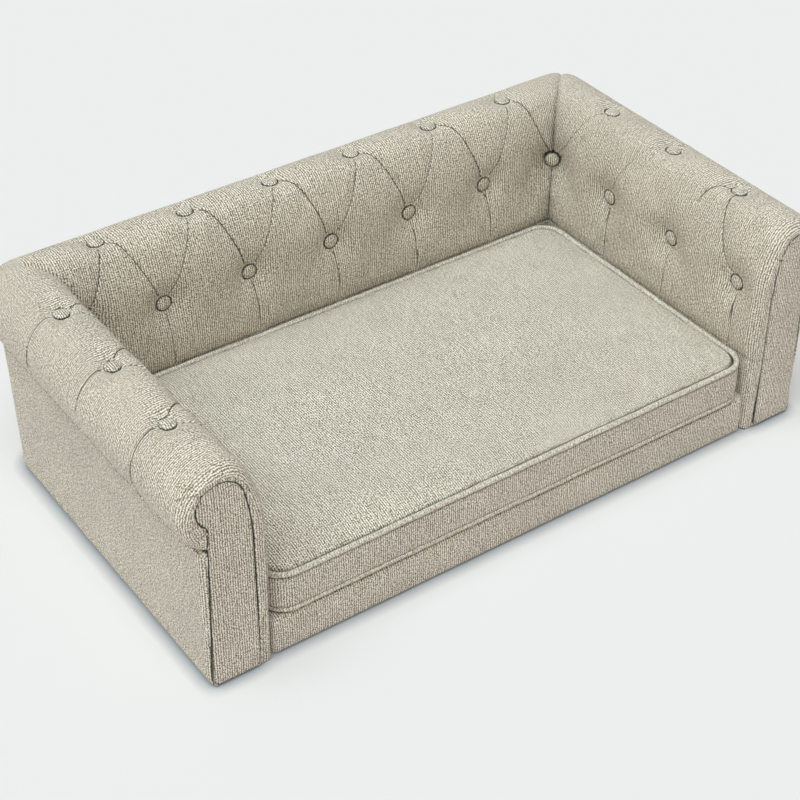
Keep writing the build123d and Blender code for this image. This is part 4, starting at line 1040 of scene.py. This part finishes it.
# The loose seat cushion: two panels and a boxing strip, joined by piped seams
cushion = {
    "cornerRadius": 28,
    "cornerEaseShare": 0.2,
    "pipingRadius": 3.25,
    "seamInset": 6.3,  # the panels start here, beside the piping
    "boxingInset": 1.5,
    "boxingBulge": 1.3,
    "boxingTuck": 3.2,  # it is drawn in under the piping
    "crownRise": 11,
    "crownReach": 26,
    "crownPower": 1.3,
    "shoulderRise": 2.2,  # the panel rolls up out of its seam
    "shoulderReach": 1.5,
    "seamDip": 1.4,
    "seamDipReach": 2.5,
    # painted shade beside the piped seams, fading over this many mm
    "seamShade": 2.0,
    "pucker": 0.55,  # small gathers beside the piping
    "puckerPitch": 13,
    "puckerReach": 9,
    "ripple": 0.5,
    "rippleSize": 120,
    "fineRipple": 0.25,
    "fineRippleSize": 34,
    "boxingWave": 0.35,
    "cordWander": 0.35,  # the piping runs a little in and out, and up and down
    "cordLift": 0.45,
    "seamSteps": (0, 0.5, 1.0, 1.6, 2.3, 3.2, 4.4, 6.2, 8.6, 11.4, 14.6, 18.2, 22.2),
    "step": 4.6,
    "stationStep": 3.2,
    "slotGap": 0.2,
}
cushionLow, cushionHigh = (np.array(corner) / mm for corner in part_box("top_piping"))
lowPipingZ = sum(corner[2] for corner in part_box("bottom_piping")) / 2 / mm
cushionMiddleY, topPipingZ = (cushionHigh + cushionLow)[1:] / 2
cushionHalfX, cushionHalfY = (cushionHigh - cushionLow)[:2] / 2


# Stations round the cushion: each is on a straight side or on a corner, with its share of that stretch
def cushionStations():
    stations = []
    for quarter in range(4):
        length = 2 * (cushionHalfX if quarter % 2 == 0 else cushionHalfY) - 2 * cushion["cornerRadius"]
        count = int(length / cushion["stationStep"])
        stations += [(quarter, 0, index / count) for index in range(count)]
        turnCount = int(cushion["cornerRadius"] * math.pi / 2 / cushion["stationStep"])
        stations += [(quarter, 1, index / turnCount) for index in range(turnCount)]
    return stations + [stations[0]]


# Points of the cushion's rounded outline, drawn in by an inset, with their outward normals
def cushionLoop(inset):
    halfX, halfY = cushionHalfX - inset, cushionHalfY - inset
    radius = cushion["cornerRadius"] - cushion["cornerEaseShare"] * inset
    radius = max(min(radius, halfX, halfY), 0)
    points, normals = [], []
    for quarter, onCorner, share in cushionStations():
        angle = math.pi / 2 - quarter * math.pi / 2
        normal = np.array([math.cos(angle), math.sin(angle)])
        along = np.array([normal[1], -normal[0]])
        reach, width = (halfY, halfX) if quarter % 2 == 0 else (halfX, halfY)
        slide = 1 if onCorner else share * 2 - 1
        middle = normal * (reach - radius) + along * slide * (width - radius)
        if onCorner:
            turned = angle - share * math.pi / 2
            normal = np.array([math.cos(turned), math.sin(turned)])
        points.append(middle + radius * normal)
        normals.append(normal)
    return np.array(points) + (0, cushionMiddleY), np.array(normals)


def loopLength(points):
    return np.concatenate([[0], np.cumsum(np.hypot(*np.diff(points, axis=0).T))])


# A panel as loops drawn in from its seam, crowned towards its middle
def cushionPanel(name, insets, level, rise, shoulder, seed):
    points, weave, paintedShade = [], [], []
    for inset in insets:
        loop, _ = cushionLoop(inset)
        run = inset - insets[0]
        crown = rise * (1 - math.exp(-((run / cushion["crownReach"]) ** cushion["crownPower"])))
        crown = crown + np.sign(rise) * shoulder * (1 - bell(run, cushion["shoulderReach"]))
        x, y = loop.T
        around = loopLength(loop)
        nearSeam = bell(run, cushion["puckerReach"]) * min(run / 3, 1)
        pucker = cushion["pucker"] * nearSeam * softNoise(around, 0 * around, cushion["puckerPitch"], seed)
        dip = -cushion["seamDip"] * bell(run, cushion["seamDipReach"])
        slow = cushion["ripple"] * softNoise(x, y, cushion["rippleSize"], seed + 1) * min(run / 30, 1)
        fine = cushion["fineRipple"] * softNoise(x, y, cushion["fineRippleSize"], seed + 2) * min(run / 12, 1)
        z = level + crown + np.sign(rise) * (dip + pucker + slow + fine)
        points.append(np.stack([x, y, z], axis=-1))
        weave.append(loop)
        # Painted shade beside the seam
        paintedShade.append(np.full(len(loop), bell(run, cushion["seamShade"])))
    return gridMesh(name, points, weave, rise < 0, paintedShade)


# The upright strip between the piped seams, with the slot for the zip left open at the back
def cushionBoxing(name):
    gap = cushion["pipingRadius"] * 0.7
    slotLow, slotHigh = (np.array(corner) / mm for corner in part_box("zip_tapes"))
    slotReach = slotHigh[0] + cushion["slotGap"]
    slotFoot, slotTop = slotLow[2] - cushion["slotGap"], slotHigh[2] + cushion["slotGap"]
    seamLevels = [lowPipingZ + gap + rise for rise in (0, 0.6, 1.3, 2.2, 3.4)]
    levels = seamLevels + np.linspace(seamLevels[-1], slotFoot, 4)[1:].tolist()
    levels += np.linspace(slotFoot, slotTop, 10)[1:].tolist()
    upperLevels = [lowPipingZ + topPipingZ - level for level in seamLevels[::-1]]
    levels += np.linspace(slotTop, upperLevels[0], 4)[1:-1].tolist() + upperLevels
    points, weave, paintedShade = [], [], []
    middle, half = (lowPipingZ + topPipingZ) / 2, (topPipingZ - lowPipingZ) / 2
    loop, normals = cushionLoop(cushion["boxingInset"])
    around = loopLength(loop)
    atSlot = (np.abs(loop[:, 0]) < slotReach + 6) & (normals[:, 1] > 0.9)
    for level in levels:
        share = (level - middle) / half
        bulge = cushion["boxingBulge"] * (1 - share**2) - cushion["boxingTuck"] * abs(share) ** 14
        wave = softNoise(around, np.full_like(around, level * 0.6), 30, 51) * (1 - share**4)
        push = np.where(atSlot, 0, bulge + cushion["boxingWave"] * wave)
        points.append(np.column_stack([loop + normals * push[:, None], np.full(len(loop), level)]))
        weave.append(np.column_stack([around, np.full(len(loop), level)]))
        # Painted shade beside the piped seams
        fromSeam = (1 - abs(share)) * half - gap
        paintedShade.append(np.full(len(loop), bell(fromSeam, cushion["seamShade"])))
    faces = gridFaces(*np.shape(points)[:2])
    x, y, z = np.reshape(points, (-1, 3))[faces].mean(axis=1).T
    inSlot = (np.abs(x) < slotReach) & (y > cushionMiddleY + cushionHalfY - 6)
    inSlot &= (z > slotFoot) & (z < slotTop)
    return makeMesh(name, points, faces[~inSlot], weave, paintedShade)


# A cord covered in bias-cut linen, sewn into a seam
def cushionPiping(name, level, seed):
    loop, normals = cushionLoop(cushion["pipingRadius"])
    around = loopLength(loop)
    wander = cushion["cordWander"] * softNoise(around, 0 * around, 45, seed)
    lift = cushion["cordLift"] * softNoise(around, 0 * around, 60, seed + 1)
    radius = cushion["pipingRadius"] * (1 + 0.04 * softNoise(around, 0 * around, 16, seed + 2))
    points, weave = [], []
    for angle in np.linspace(0, math.tau, 15):
        out = radius * math.cos(angle) + wander
        up = level + lift + radius * math.sin(angle)
        girth = np.full(len(loop), angle * cushion["pipingRadius"])
        points.append(np.column_stack([loop + normals * out[:, None], up]))
        weave.append(np.column_stack([around + 4 * angle, girth]))
    return gridMesh(name, points, weave)


def buildCushion(panelLinen, upright, pipingLinen):
    insets = [cushion["seamInset"] + step for step in cushion["seamSteps"]]
    inner = np.arange(insets[-1] + cushion["step"], cushionHalfY, cushion["step"]).tolist() + [cushionHalfY]
    top = cushionPanel("top", insets + inner, topPipingZ, cushion["crownRise"], cushion["shoulderRise"], 61)
    inside = ("cushion_top_panel", "cushion_foam")
    topPiece = makePiece("cushion_top_linen", [top], panelLinen, "cushion", inside)
    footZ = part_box("cushion_bottom_panel")[0][2] / mm
    inner = np.arange(30, cushionHalfY, 9).tolist() + [cushionHalfY]
    bottom = cushionPanel("bottom", insets[::2] + inner, lowPipingZ - 1, footZ - lowPipingZ + 1.6, 0, 67)
    makePiece("cushion_bottom_linen", [bottom], panelLinen, "cushion", ("cushion_bottom_panel",))
    makePiece("cushion_boxing_linen", [cushionBoxing("boxing")], upright, "cushion", ("cushion_boxing",))
    for name, level, seed in (("top_piping", topPipingZ, 71), ("bottom_piping", lowPipingZ, 75)):
        mesh = cushionPiping(name, level, seed)
        makePiece(f"{name}_cord", [mesh], pipingLinen, "cushion", (name,))


# The zip's two rows of moulded teeth
zipTeeth = {"pitch": 2.4, "length": 1.5, "chamfer": 0.35, "reach": 0.9, "rootGap": 0.8, "farShare": 0.7}


def buildZipTeeth(material):
    low, high = (np.array(corner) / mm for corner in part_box("zip_teeth"))
    middleZ = (low[2] + high[2]) / 2
    count = int((high[0] - low[0]) / zipTeeth["pitch"])
    points, faces, weave = [], [], []
    chamfer, farShare = zipTeeth["chamfer"], zipTeeth["farShare"]
    depths = ((low[1] + 0.1, chamfer), (low[1] + 0.6, 0), (high[1] - 0.6, 0), (high[1] - 0.1, chamfer))
    for side in (-1, 1):
        for index in range(count):
            x = low[0] + zipTeeth["pitch"] * (index + (0.25 if side < 0 else 0.75))
            near = middleZ + side * (zipTeeth["rootGap"] - zipTeeth["reach"])
            far = middleZ + side * (high[2] - low[2]) / 2
            start = len(points)
            for y, shrink in depths:
                half = zipTeeth["length"] / 2 - shrink
                for dx, z in ((-half, near), (half, near), (half * farShare, far), (-half * farShare, far)):
                    points.append((x + dx, y, z + side * (shrink if z == near else -shrink)))
                    weave.append((x + dx, z))
            for ring in range(3):
                for k in range(4):
                    a, b = start + ring * 4 + k, start + ring * 4 + (k + 1) % 4
                    quad = (a, b, b + 4, a + 4)
                    faces.append(quad if side > 0 else quad[::-1])
            lid = (start + 3, start + 2, start + 1, start)
            base = (start + 12, start + 13, start + 14, start + 15)
            faces += [lid, base] if side > 0 else [lid[::-1], base[::-1]]
    mesh = makeMesh("teeth", points, faces, weave)
    makePiece("zip_tooth_rows", [mesh], material, "cushion", ("zip_teeth",))


def linearColour(hexText):
    channels = [int(hexText[start : start + 2], 16) / 255 for start in (1, 3, 5)]
    return [c / 12.92 if c <= 0.04045 else ((c + 0.055) / 1.055) ** 2.4 for c in channels] + [1]


# One shader node: sockets that hold a value or take a link, a ramp's two stops, and its own settings
def addNode(tree, kind, sockets, stops=(), **settings):
    node = tree.nodes.new(kind)
    for name, value in settings.items():
        setattr(node, name, value)
    for name, value in sockets.items():
        if isinstance(value, bpy.types.NodeSocket):
            tree.links.new(value, node.inputs[name])
        else:
            node.inputs[name].default_value = value
    for index, (place, colour) in enumerate(stops):
        element = node.color_ramp.elements[index]
        element.position = place
        element.color = colour
    return node


def newMaterial(name):
    material = bpy.data.materials.new(name)
    material.use_nodes = True
    material.node_tree.nodes.clear()
    return material, material.node_tree


# A principled surface with its bump, joined to the output
def finishMaterial(tree, surface, height, bumpDistance, bumpStrength):
    shader = addNode(tree, "ShaderNodeBsdfPrincipled", surface)
    bump = {"Height": height, "Distance": bumpDistance, "Strength": bumpStrength}
    bump = addNode(tree, "ShaderNodeBump", bump)
    tree.links.new(bump.outputs["Normal"], shader.inputs["Normal"])
    addNode(tree, "ShaderNodeOutputMaterial", {"Surface": shader.outputs["BSDF"]})


# Slubbed linen-look upholstery cloth, woven from thick and thin yarn, dry to the eye: broken ribs, beads
# where the yarns cross and a dark speckle between them. Real yarn is about 1 mm thick. It is drawn coarser
# here so that it still shows from across a room
linen = {
    "pickPitch": 2.6,  # beads along a rib, mm
    "ribWander": 1.2,
    # Speckle and slubs: how far across, how far along, and how much they show
    "strands": ((1.4, 1.75, 1.0), (2.6, 3.8, 0.25), (2.2, 24, 0.2)),
    "cloudSize": 90,
    "roughness": 0.92,
    "sheen": 0.1,
    "bumpDistance": 0.00045,
    "contrast": (0.41, 0.59),  # the darkest and the palest spots of the weave
    # how far the painted shade in folds darkens the colour
    "paintedShadeStrength": 0.82,
}


# Linen whose ribs run up its weave map, ribPitch mm apart; the shares say how much ribs and beads show
def wovenLinen(name, dark, light, ribPitch, ribShare, pickShare, turn=0):
    material, tree = newMaterial(name)
    flat = addNode(tree, "ShaderNodeUVMap", {}, uv_map="weave").outputs["UV"]
    turned = {"Vector": flat, "Rotation": (0, 0, math.radians(turn))}
    flat = addNode(tree, "ShaderNodeMapping", turned).outputs["Vector"]
    yarn = 0.0
    for direction, pitch, share in (("X", ribPitch, ribShare), ("Y", linen["pickPitch"], pickShare)):
        bands = {
            "Vector": flat,
            "Scale": math.tau / 20 / (pitch * mm),
            "Distortion": linen["ribWander"],
            "Detail": 2.0,
            "Detail Scale": 4.0,
            "Detail Roughness": 0.65,
        }
        bands = addNode(tree, "ShaderNodeTexWave", bands, bands_direction=direction).outputs["Fac"]
        yarn = {0: bands, 1: share, 2: yarn}
        yarn = addNode(tree, "ShaderNodeMath", yarn, operation="MULTIPLY_ADD").outputs[0]
    for across, along, share in linen["strands"]:
        scale = (1 / (across * mm), 1 / (along * mm), 1)
        stretched = addNode(tree, "ShaderNodeMapping", {"Vector": flat, "Scale": scale}).outputs["Vector"]
        noise = {"Vector": stretched, "Scale": 1.0, "Detail": 2.0, "Roughness": 0.65}
        noise = addNode(tree, "ShaderNodeTexNoise", noise, noise_dimensions="2D").outputs["Fac"]
        yarn = {0: noise, 1: share, 2: yarn}
        yarn = addNode(tree, "ShaderNodeMath", yarn, operation="MULTIPLY_ADD").outputs[0]
    total = ribShare + pickShare + sum(share for _, _, share in linen["strands"])
    yarn = addNode(tree, "ShaderNodeMath", {0: yarn, 1: total}, operation="DIVIDE").outputs[0]
    stops = tuple(zip(linen["contrast"], (linearColour(dark), linearColour(light))))
    shade = addNode(tree, "ShaderNodeValToRGB", {"Fac": yarn}, stops=stops).outputs["Color"]
    slow = {"Vector": flat, "Scale": 1 / (linen["cloudSize"] * mm), "Detail": 2.0}
    slow = addNode(tree, "ShaderNodeTexNoise", slow, noise_dimensions="2D").outputs["Fac"]
    slow = {"Value": slow, "From Min": 0.3, "From Max": 0.7, "To Min": 0.96, "To Max": 1.04}
    slow = addNode(tree, "ShaderNodeMapRange", slow).outputs["Result"]
    # Painted shade: the colour is darkened where the mesh marks a point deep in a fold
    paintedShade = addNode(tree, "ShaderNodeAttribute", {}, attribute_name="paintedShade").outputs["Fac"]
    paintedShadeFactor = {0: paintedShade, 1: -linen["paintedShadeStrength"], 2: 1.0}
    paintedShadeFactor = addNode(tree, "ShaderNodeMath", paintedShadeFactor, operation="MULTIPLY_ADD").outputs[0]
    slow = addNode(tree, "ShaderNodeMath", {0: slow, 1: paintedShadeFactor}, operation="MULTIPLY").outputs[0]
    colour = {0: shade, "Scale": slow}
    colour = addNode(tree, "ShaderNodeVectorMath", colour, operation="SCALE").outputs["Vector"]
    surface = {
        "Base Color": colour,
        "Roughness": linen["roughness"],
        "Specular IOR Level": 0.15,
        "Sheen Weight": linen["sheen"],
        "Sheen Roughness": 0.5,
    }
    finishMaterial(tree, surface, yarn, linen["bumpDistance"], 0.7)
    return material


# Sawn timber: long grain along one axis and finer pores
def woodMaterial(name, dark, light, ringPitch, stretch, roughness):
    material, tree = newMaterial(name)
    place = addNode(tree, "ShaderNodeTexCoord", {}).outputs["Object"]
    scale = [1 / (size * mm) for size in stretch]
    mapped = addNode(tree, "ShaderNodeMapping", {"Vector": place, "Scale": scale}).outputs["Vector"]
    grain = {"Vector": mapped, "Scale": ringPitch, "Detail": 6, "Roughness": 0.65, "Distortion": 0.6}
    grain = addNode(tree, "ShaderNodeTexNoise", grain).outputs["Fac"]
    stops = ((0.32, linearColour(dark)), (0.68, linearColour(light)))
    shade = addNode(tree, "ShaderNodeValToRGB", {"Fac": grain}, stops=stops)
    finishMaterial(tree, {"Base Color": shade.outputs["Color"], "Roughness": roughness}, grain, 0.0003, 0.4)
    return material


# Moulded, felted or plated finishes with fine mottling
def speckledMaterial(name, dark, light, size, roughness, metallic=0.0, bump=0.0002):
    material, tree = newMaterial(name)
    place = addNode(tree, "ShaderNodeTexCoord", {}).outputs["Object"]
    mottle = {"Vector": place, "Scale": 1 / (size * mm), "Detail": 4, "Roughness": 0.6}
    mottle = addNode(tree, "ShaderNodeTexNoise", mottle).outputs["Fac"]
    stops = ((0.35, linearColour(dark)), (0.65, linearColour(light)))
    shade = addNode(tree, "ShaderNodeValToRGB", {"Fac": mottle}, stops=stops)
    surface = {"Base Color": shade.outputs["Color"], "Roughness": roughness, "Metallic": metallic}
    finishMaterial(tree, surface, mottle, bump, 0.5)
    return material


# Narrow woven tape: fine crossing ribs
def wovenTape(name, dark, light, pitch):
    material, tree = newMaterial(name)
    place = addNode(tree, "ShaderNodeTexCoord", {}).outputs["Object"]
    ribs = {}
    for index, (axis, share) in enumerate((("X", 1.0), ("Z", 1.6))):
        scale = share / (pitch * mm * math.tau)
        bands = {"Vector": place, "Scale": scale, "Distortion": 0.4, "Detail": 1}
        ribs[index] = addNode(tree, "ShaderNodeTexWave", bands, bands_direction=axis).outputs["Fac"]
    weave = addNode(tree, "ShaderNodeMath", ribs, operation="MULTIPLY").outputs[0]
    stops = ((0.1, linearColour(dark)), (0.9, linearColour(light)))
    shade = addNode(tree, "ShaderNodeValToRGB", {"Fac": weave}, stops=stops)
    finishMaterial(tree, {"Base Color": shade.outputs["Color"], "Roughness": 0.8}, weave, 0.0002, 0.5)
    return material


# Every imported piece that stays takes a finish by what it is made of
def dressNodes(materials):
    finishes = {
        "birch plywood": (
            "back_board", "left_arm_board", "right_arm_board", "left_front_board", "right_front_board",
            "seat_deck", "left_facing_board", "right_facing_board",
        ),
        "sawn pine": (
            "back_top_rail", "left_top_rail", "right_top_rail", "front_rail", "rear_rail", "centre_rail",
            "left_side_rail", "right_side_rail", "left_corner_post", "right_corner_post",
        ),
        "waxed twine": ("button_ties",),
        "zinc plated steel": ("frame_screws", "deck_screws", "tie_washers", "facing_pins", "zip_stops"),
        "moulded polypropylene": ("floor_glides",),
        "spun-bonded dust cloth": ("dust_cover",),
        "zip tape": ("zip_tapes",),
        "cast zinc": ("zip_slider",),
    }
    for finish, names in finishes.items():
        for name in names:
            node = nodes[name]
            node.data.materials.clear()
            node.data.materials.append(materials[finish])


# Each finish: its name in full, its dark and pale colour, and what else its kind of material takes
linenFinishes = {
    "wall linen": ("slubbed linen, woven, ribs upright", "#66563F", "#FFFBF1", 2.8, 0.2, 0.05),
    "panel linen": ("slubbed linen, woven, cushion panels", "#63563F", "#FFFBF1", 2.7, 0.2, 0.06),
    "piping linen": ("slubbed linen, bias cut over cord", "#8C7F6B", "#FCF9F0", 2.2, 0.1, 0.1, 45),
}
woodFinishes = {
    "birch plywood": ("birch plywood, sanded", "#C9A877", "#E2C99D", 1.0, (9, 60, 9), 0.6),
    "sawn pine": ("pine, sawn", "#C79A5E", "#E6C48E", 1.0, (6, 80, 14), 0.7),
}
speckledFinishes = {
    "waxed twine": ("polyester twine, waxed", "#9A8E78", "#CFC6B2", 0.8, 0.6),
    "zinc plated steel": ("steel, zinc plated", "#A9ABA8", "#D2D2CC", 3, 0.35, 1.0, 0.00005),
    "moulded polypropylene": ("polypropylene, moulded", "#1D1D1F", "#2B2B2D", 1.2, 0.45),
    "spun-bonded dust cloth": ("polypropylene cloth, spun-bonded", "#202022", "#3A3A3C", 1.5, 0.9),
    "zip plastic": ("acetal, moulded zip teeth", "#B7AE9C", "#CFC7B7", 1.0, 0.4),
    "cast zinc": ("zinc, die cast and plated", "#8F8C84", "#C4C0B6", 2, 0.4, 1.0, 0.00005),
}
tapeFinishes = {"zip tape": ("polyester tape, woven", "#A79D8A", "#D6CEBD", 0.9)}


def buildMaterials():
    kinds = (
        (wovenLinen, linenFinishes),
        (woodMaterial, woodFinishes),
        (speckledMaterial, speckledFinishes),
        (wovenTape, tapeFinishes),
    )
    materials = {use: make(*values) for make, table in kinds for use, values in table.items()}
    dressNodes(materials)
    return materials


# Pale studio: a plain floor with a painted contact shadow close round the sofa, an even sky and one broad
# soft lamp from the upper left
studio = {
    "floorColour": "#EDEFEE",
    "floorTint": "#EAEAEE",  # the coloured light is evened out
    "floorSize": 14,
    "skyTop": "#F4FAFC",
    "skyFoot": "#FFDEB4",
    "skyStrength": 0.41,
    "keyStrength": 2.35,
    "keyColour": "#F6FEFC",
    "keyAngle": 50,  # degrees across, so that its shadow stays soft
    "keyElevation": 68,
    "keyAzimuth": -67,  # from the left, a little to the front
    "floorGlow": 0.15,
    # painted contact shadow: within this reach of the sofa the floor's colour is darkened towards the colour
    # below
    "contactShadowReach": 0.017,  # metres, close round the foot
    "contactShadowColour": "#ACB1B8",
}


# 1 for what the eye sees, straight or in a shiny or clear surface, and 0 for the light on the sofa
def seenByEye(tree):
    rays = addNode(tree, "ShaderNodeLightPath", {}).outputs
    shiny = {0: rays["Is Glossy Ray"], 1: rays["Is Transmission Ray"]}
    shiny = addNode(tree, "ShaderNodeMath", shiny, operation="MAXIMUM").outputs[0]
    seen = {0: rays["Is Camera Ray"], 1: shiny}
    return addNode(tree, "ShaderNodeMath", seen, operation="MAXIMUM").outputs[0]


def buildStudio():
    size = studio["floorSize"] / 2
    mesh = bpy.data.meshes.new("studio_floor")
    corners = [(-size, -size, 0), (size, -size, 0), (size, size, 0), (-size, size, 0)]
    mesh.from_pydata(corners, [], [(0, 1, 2, 3)])
    material, tree = newMaterial("studio floor, matt card")
    colour = linearColour(studio["floorColour"])
    # Painted contact shadow: ambient occlusion darkens the floor's colour close round the sofa
    contactShadow = addNode(tree, "ShaderNodeAmbientOcclusion", {"Distance": studio["contactShadowReach"]}).outputs["AO"]
    shades = {}
    for use, tone in (("card", linearColour(studio["floorTint"])), ("glow", colour)):
        stops = ((0.45, linearColour(studio["contactShadowColour"])), (1.0, tone))
        shades[use] = addNode(tree, "ShaderNodeValToRGB", {"Fac": contactShadow}, stops=stops).outputs["Color"]
    card = addNode(tree, "ShaderNodeBsdfDiffuse", {"Color": shades["card"]})
    glow = addNode(tree, "ShaderNodeEmission", {"Color": shades["glow"], "Strength": 1.0})
    share = {0: seenByEye(tree), 1: studio["floorGlow"]}
    share = addNode(tree, "ShaderNodeMath", share, operation="MULTIPLY").outputs[0]
    both = {0: share, 1: card.outputs["BSDF"], 2: glow.outputs["Emission"]}
    both = addNode(tree, "ShaderNodeMixShader", both)
    addNode(tree, "ShaderNodeOutputMaterial", {"Surface": both.outputs["Shader"]})
    mesh.materials.append(material)
    floor = bpy.data.objects.new("studio_floor", mesh)
    bpy.context.scene.collection.objects.link(floor)
    floor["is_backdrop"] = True

    world = bpy.data.worlds.new("studio sky")
    world.use_nodes = True
    world.node_tree.nodes.clear()
    tree = world.node_tree
    up = addNode(tree, "ShaderNodeTexCoord", {}).outputs["Generated"]
    up = addNode(tree, "ShaderNodeSeparateXYZ", {"Vector": up}).outputs["Z"]
    stops = ((0.25, linearColour(studio["skyFoot"])), (0.9, linearColour(studio["skyTop"])))
    tone = addNode(tree, "ShaderNodeValToRGB", {"Fac": up}, stops=stops).outputs["Color"]
    sky = addNode(tree, "ShaderNodeBackground", {"Color": tone, "Strength": studio["skyStrength"]})
    seen = addNode(tree, "ShaderNodeBackground", {"Color": colour, "Strength": 1.0})
    both = {0: seenByEye(tree), 1: sky.outputs["Background"], 2: seen.outputs["Background"]}
    both = addNode(tree, "ShaderNodeMixShader", both)
    addNode(tree, "ShaderNodeOutputWorld", {"Surface": both.outputs["Shader"]})
    bpy.context.scene.world = world

    lamp = bpy.data.lights.new("soft_key", "SUN")
    lamp.energy = studio["keyStrength"]
    lamp.angle = math.radians(studio["keyAngle"])
    lamp.color = linearColour(studio["keyColour"])[:3]
    key = bpy.data.objects.new("soft_key", lamp)
    tilt = math.radians(90 - studio["keyElevation"])
    key.rotation_euler = (tilt, 0, math.radians(studio["keyAzimuth"]))
    bpy.context.scene.collection.objects.link(key)


# The photograph's own viewpoint, in metres and degrees
viewpoint = {
    "place": (-1.02969, -1.46568, 1.42868),
    "turn": (52.326, 0, -34.928),
    "lens": 84.25,
    "sensor": 36,
}


def buildCamera():
    data = bpy.data.cameras.new("photo_camera")
    data.lens = viewpoint["lens"]
    data.sensor_width = viewpoint["sensor"]
    camera = bpy.data.objects.new("photo_camera", data)
    camera.location = viewpoint["place"]
    camera.rotation_euler = [math.radians(angle) for angle in viewpoint["turn"]]
    bpy.context.scene.collection.objects.link(camera)
    bpy.context.scene.camera = camera


buildCamera()
buildStudio()
print("camera and studio ready")
finishes = buildMaterials()
print("materials ready")
buildWalls(finishes["wall linen"])
print("padded walls ready")
buildOuterCovers(finishes["wall linen"])
buildFacings(finishes["wall linen"])
buildRailCover(finishes["wall linen"])
print("panels, facings and rail ready")
buildButtons(finishes["panel linen"])
print("buttons ready")
buildCushion(finishes["panel linen"], finishes["wall linen"], finishes["piping linen"])
buildZipTeeth(finishes["zip plastic"])
print("cushion ready")

bpy.context.scene.view_settings.view_transform = "Standard"
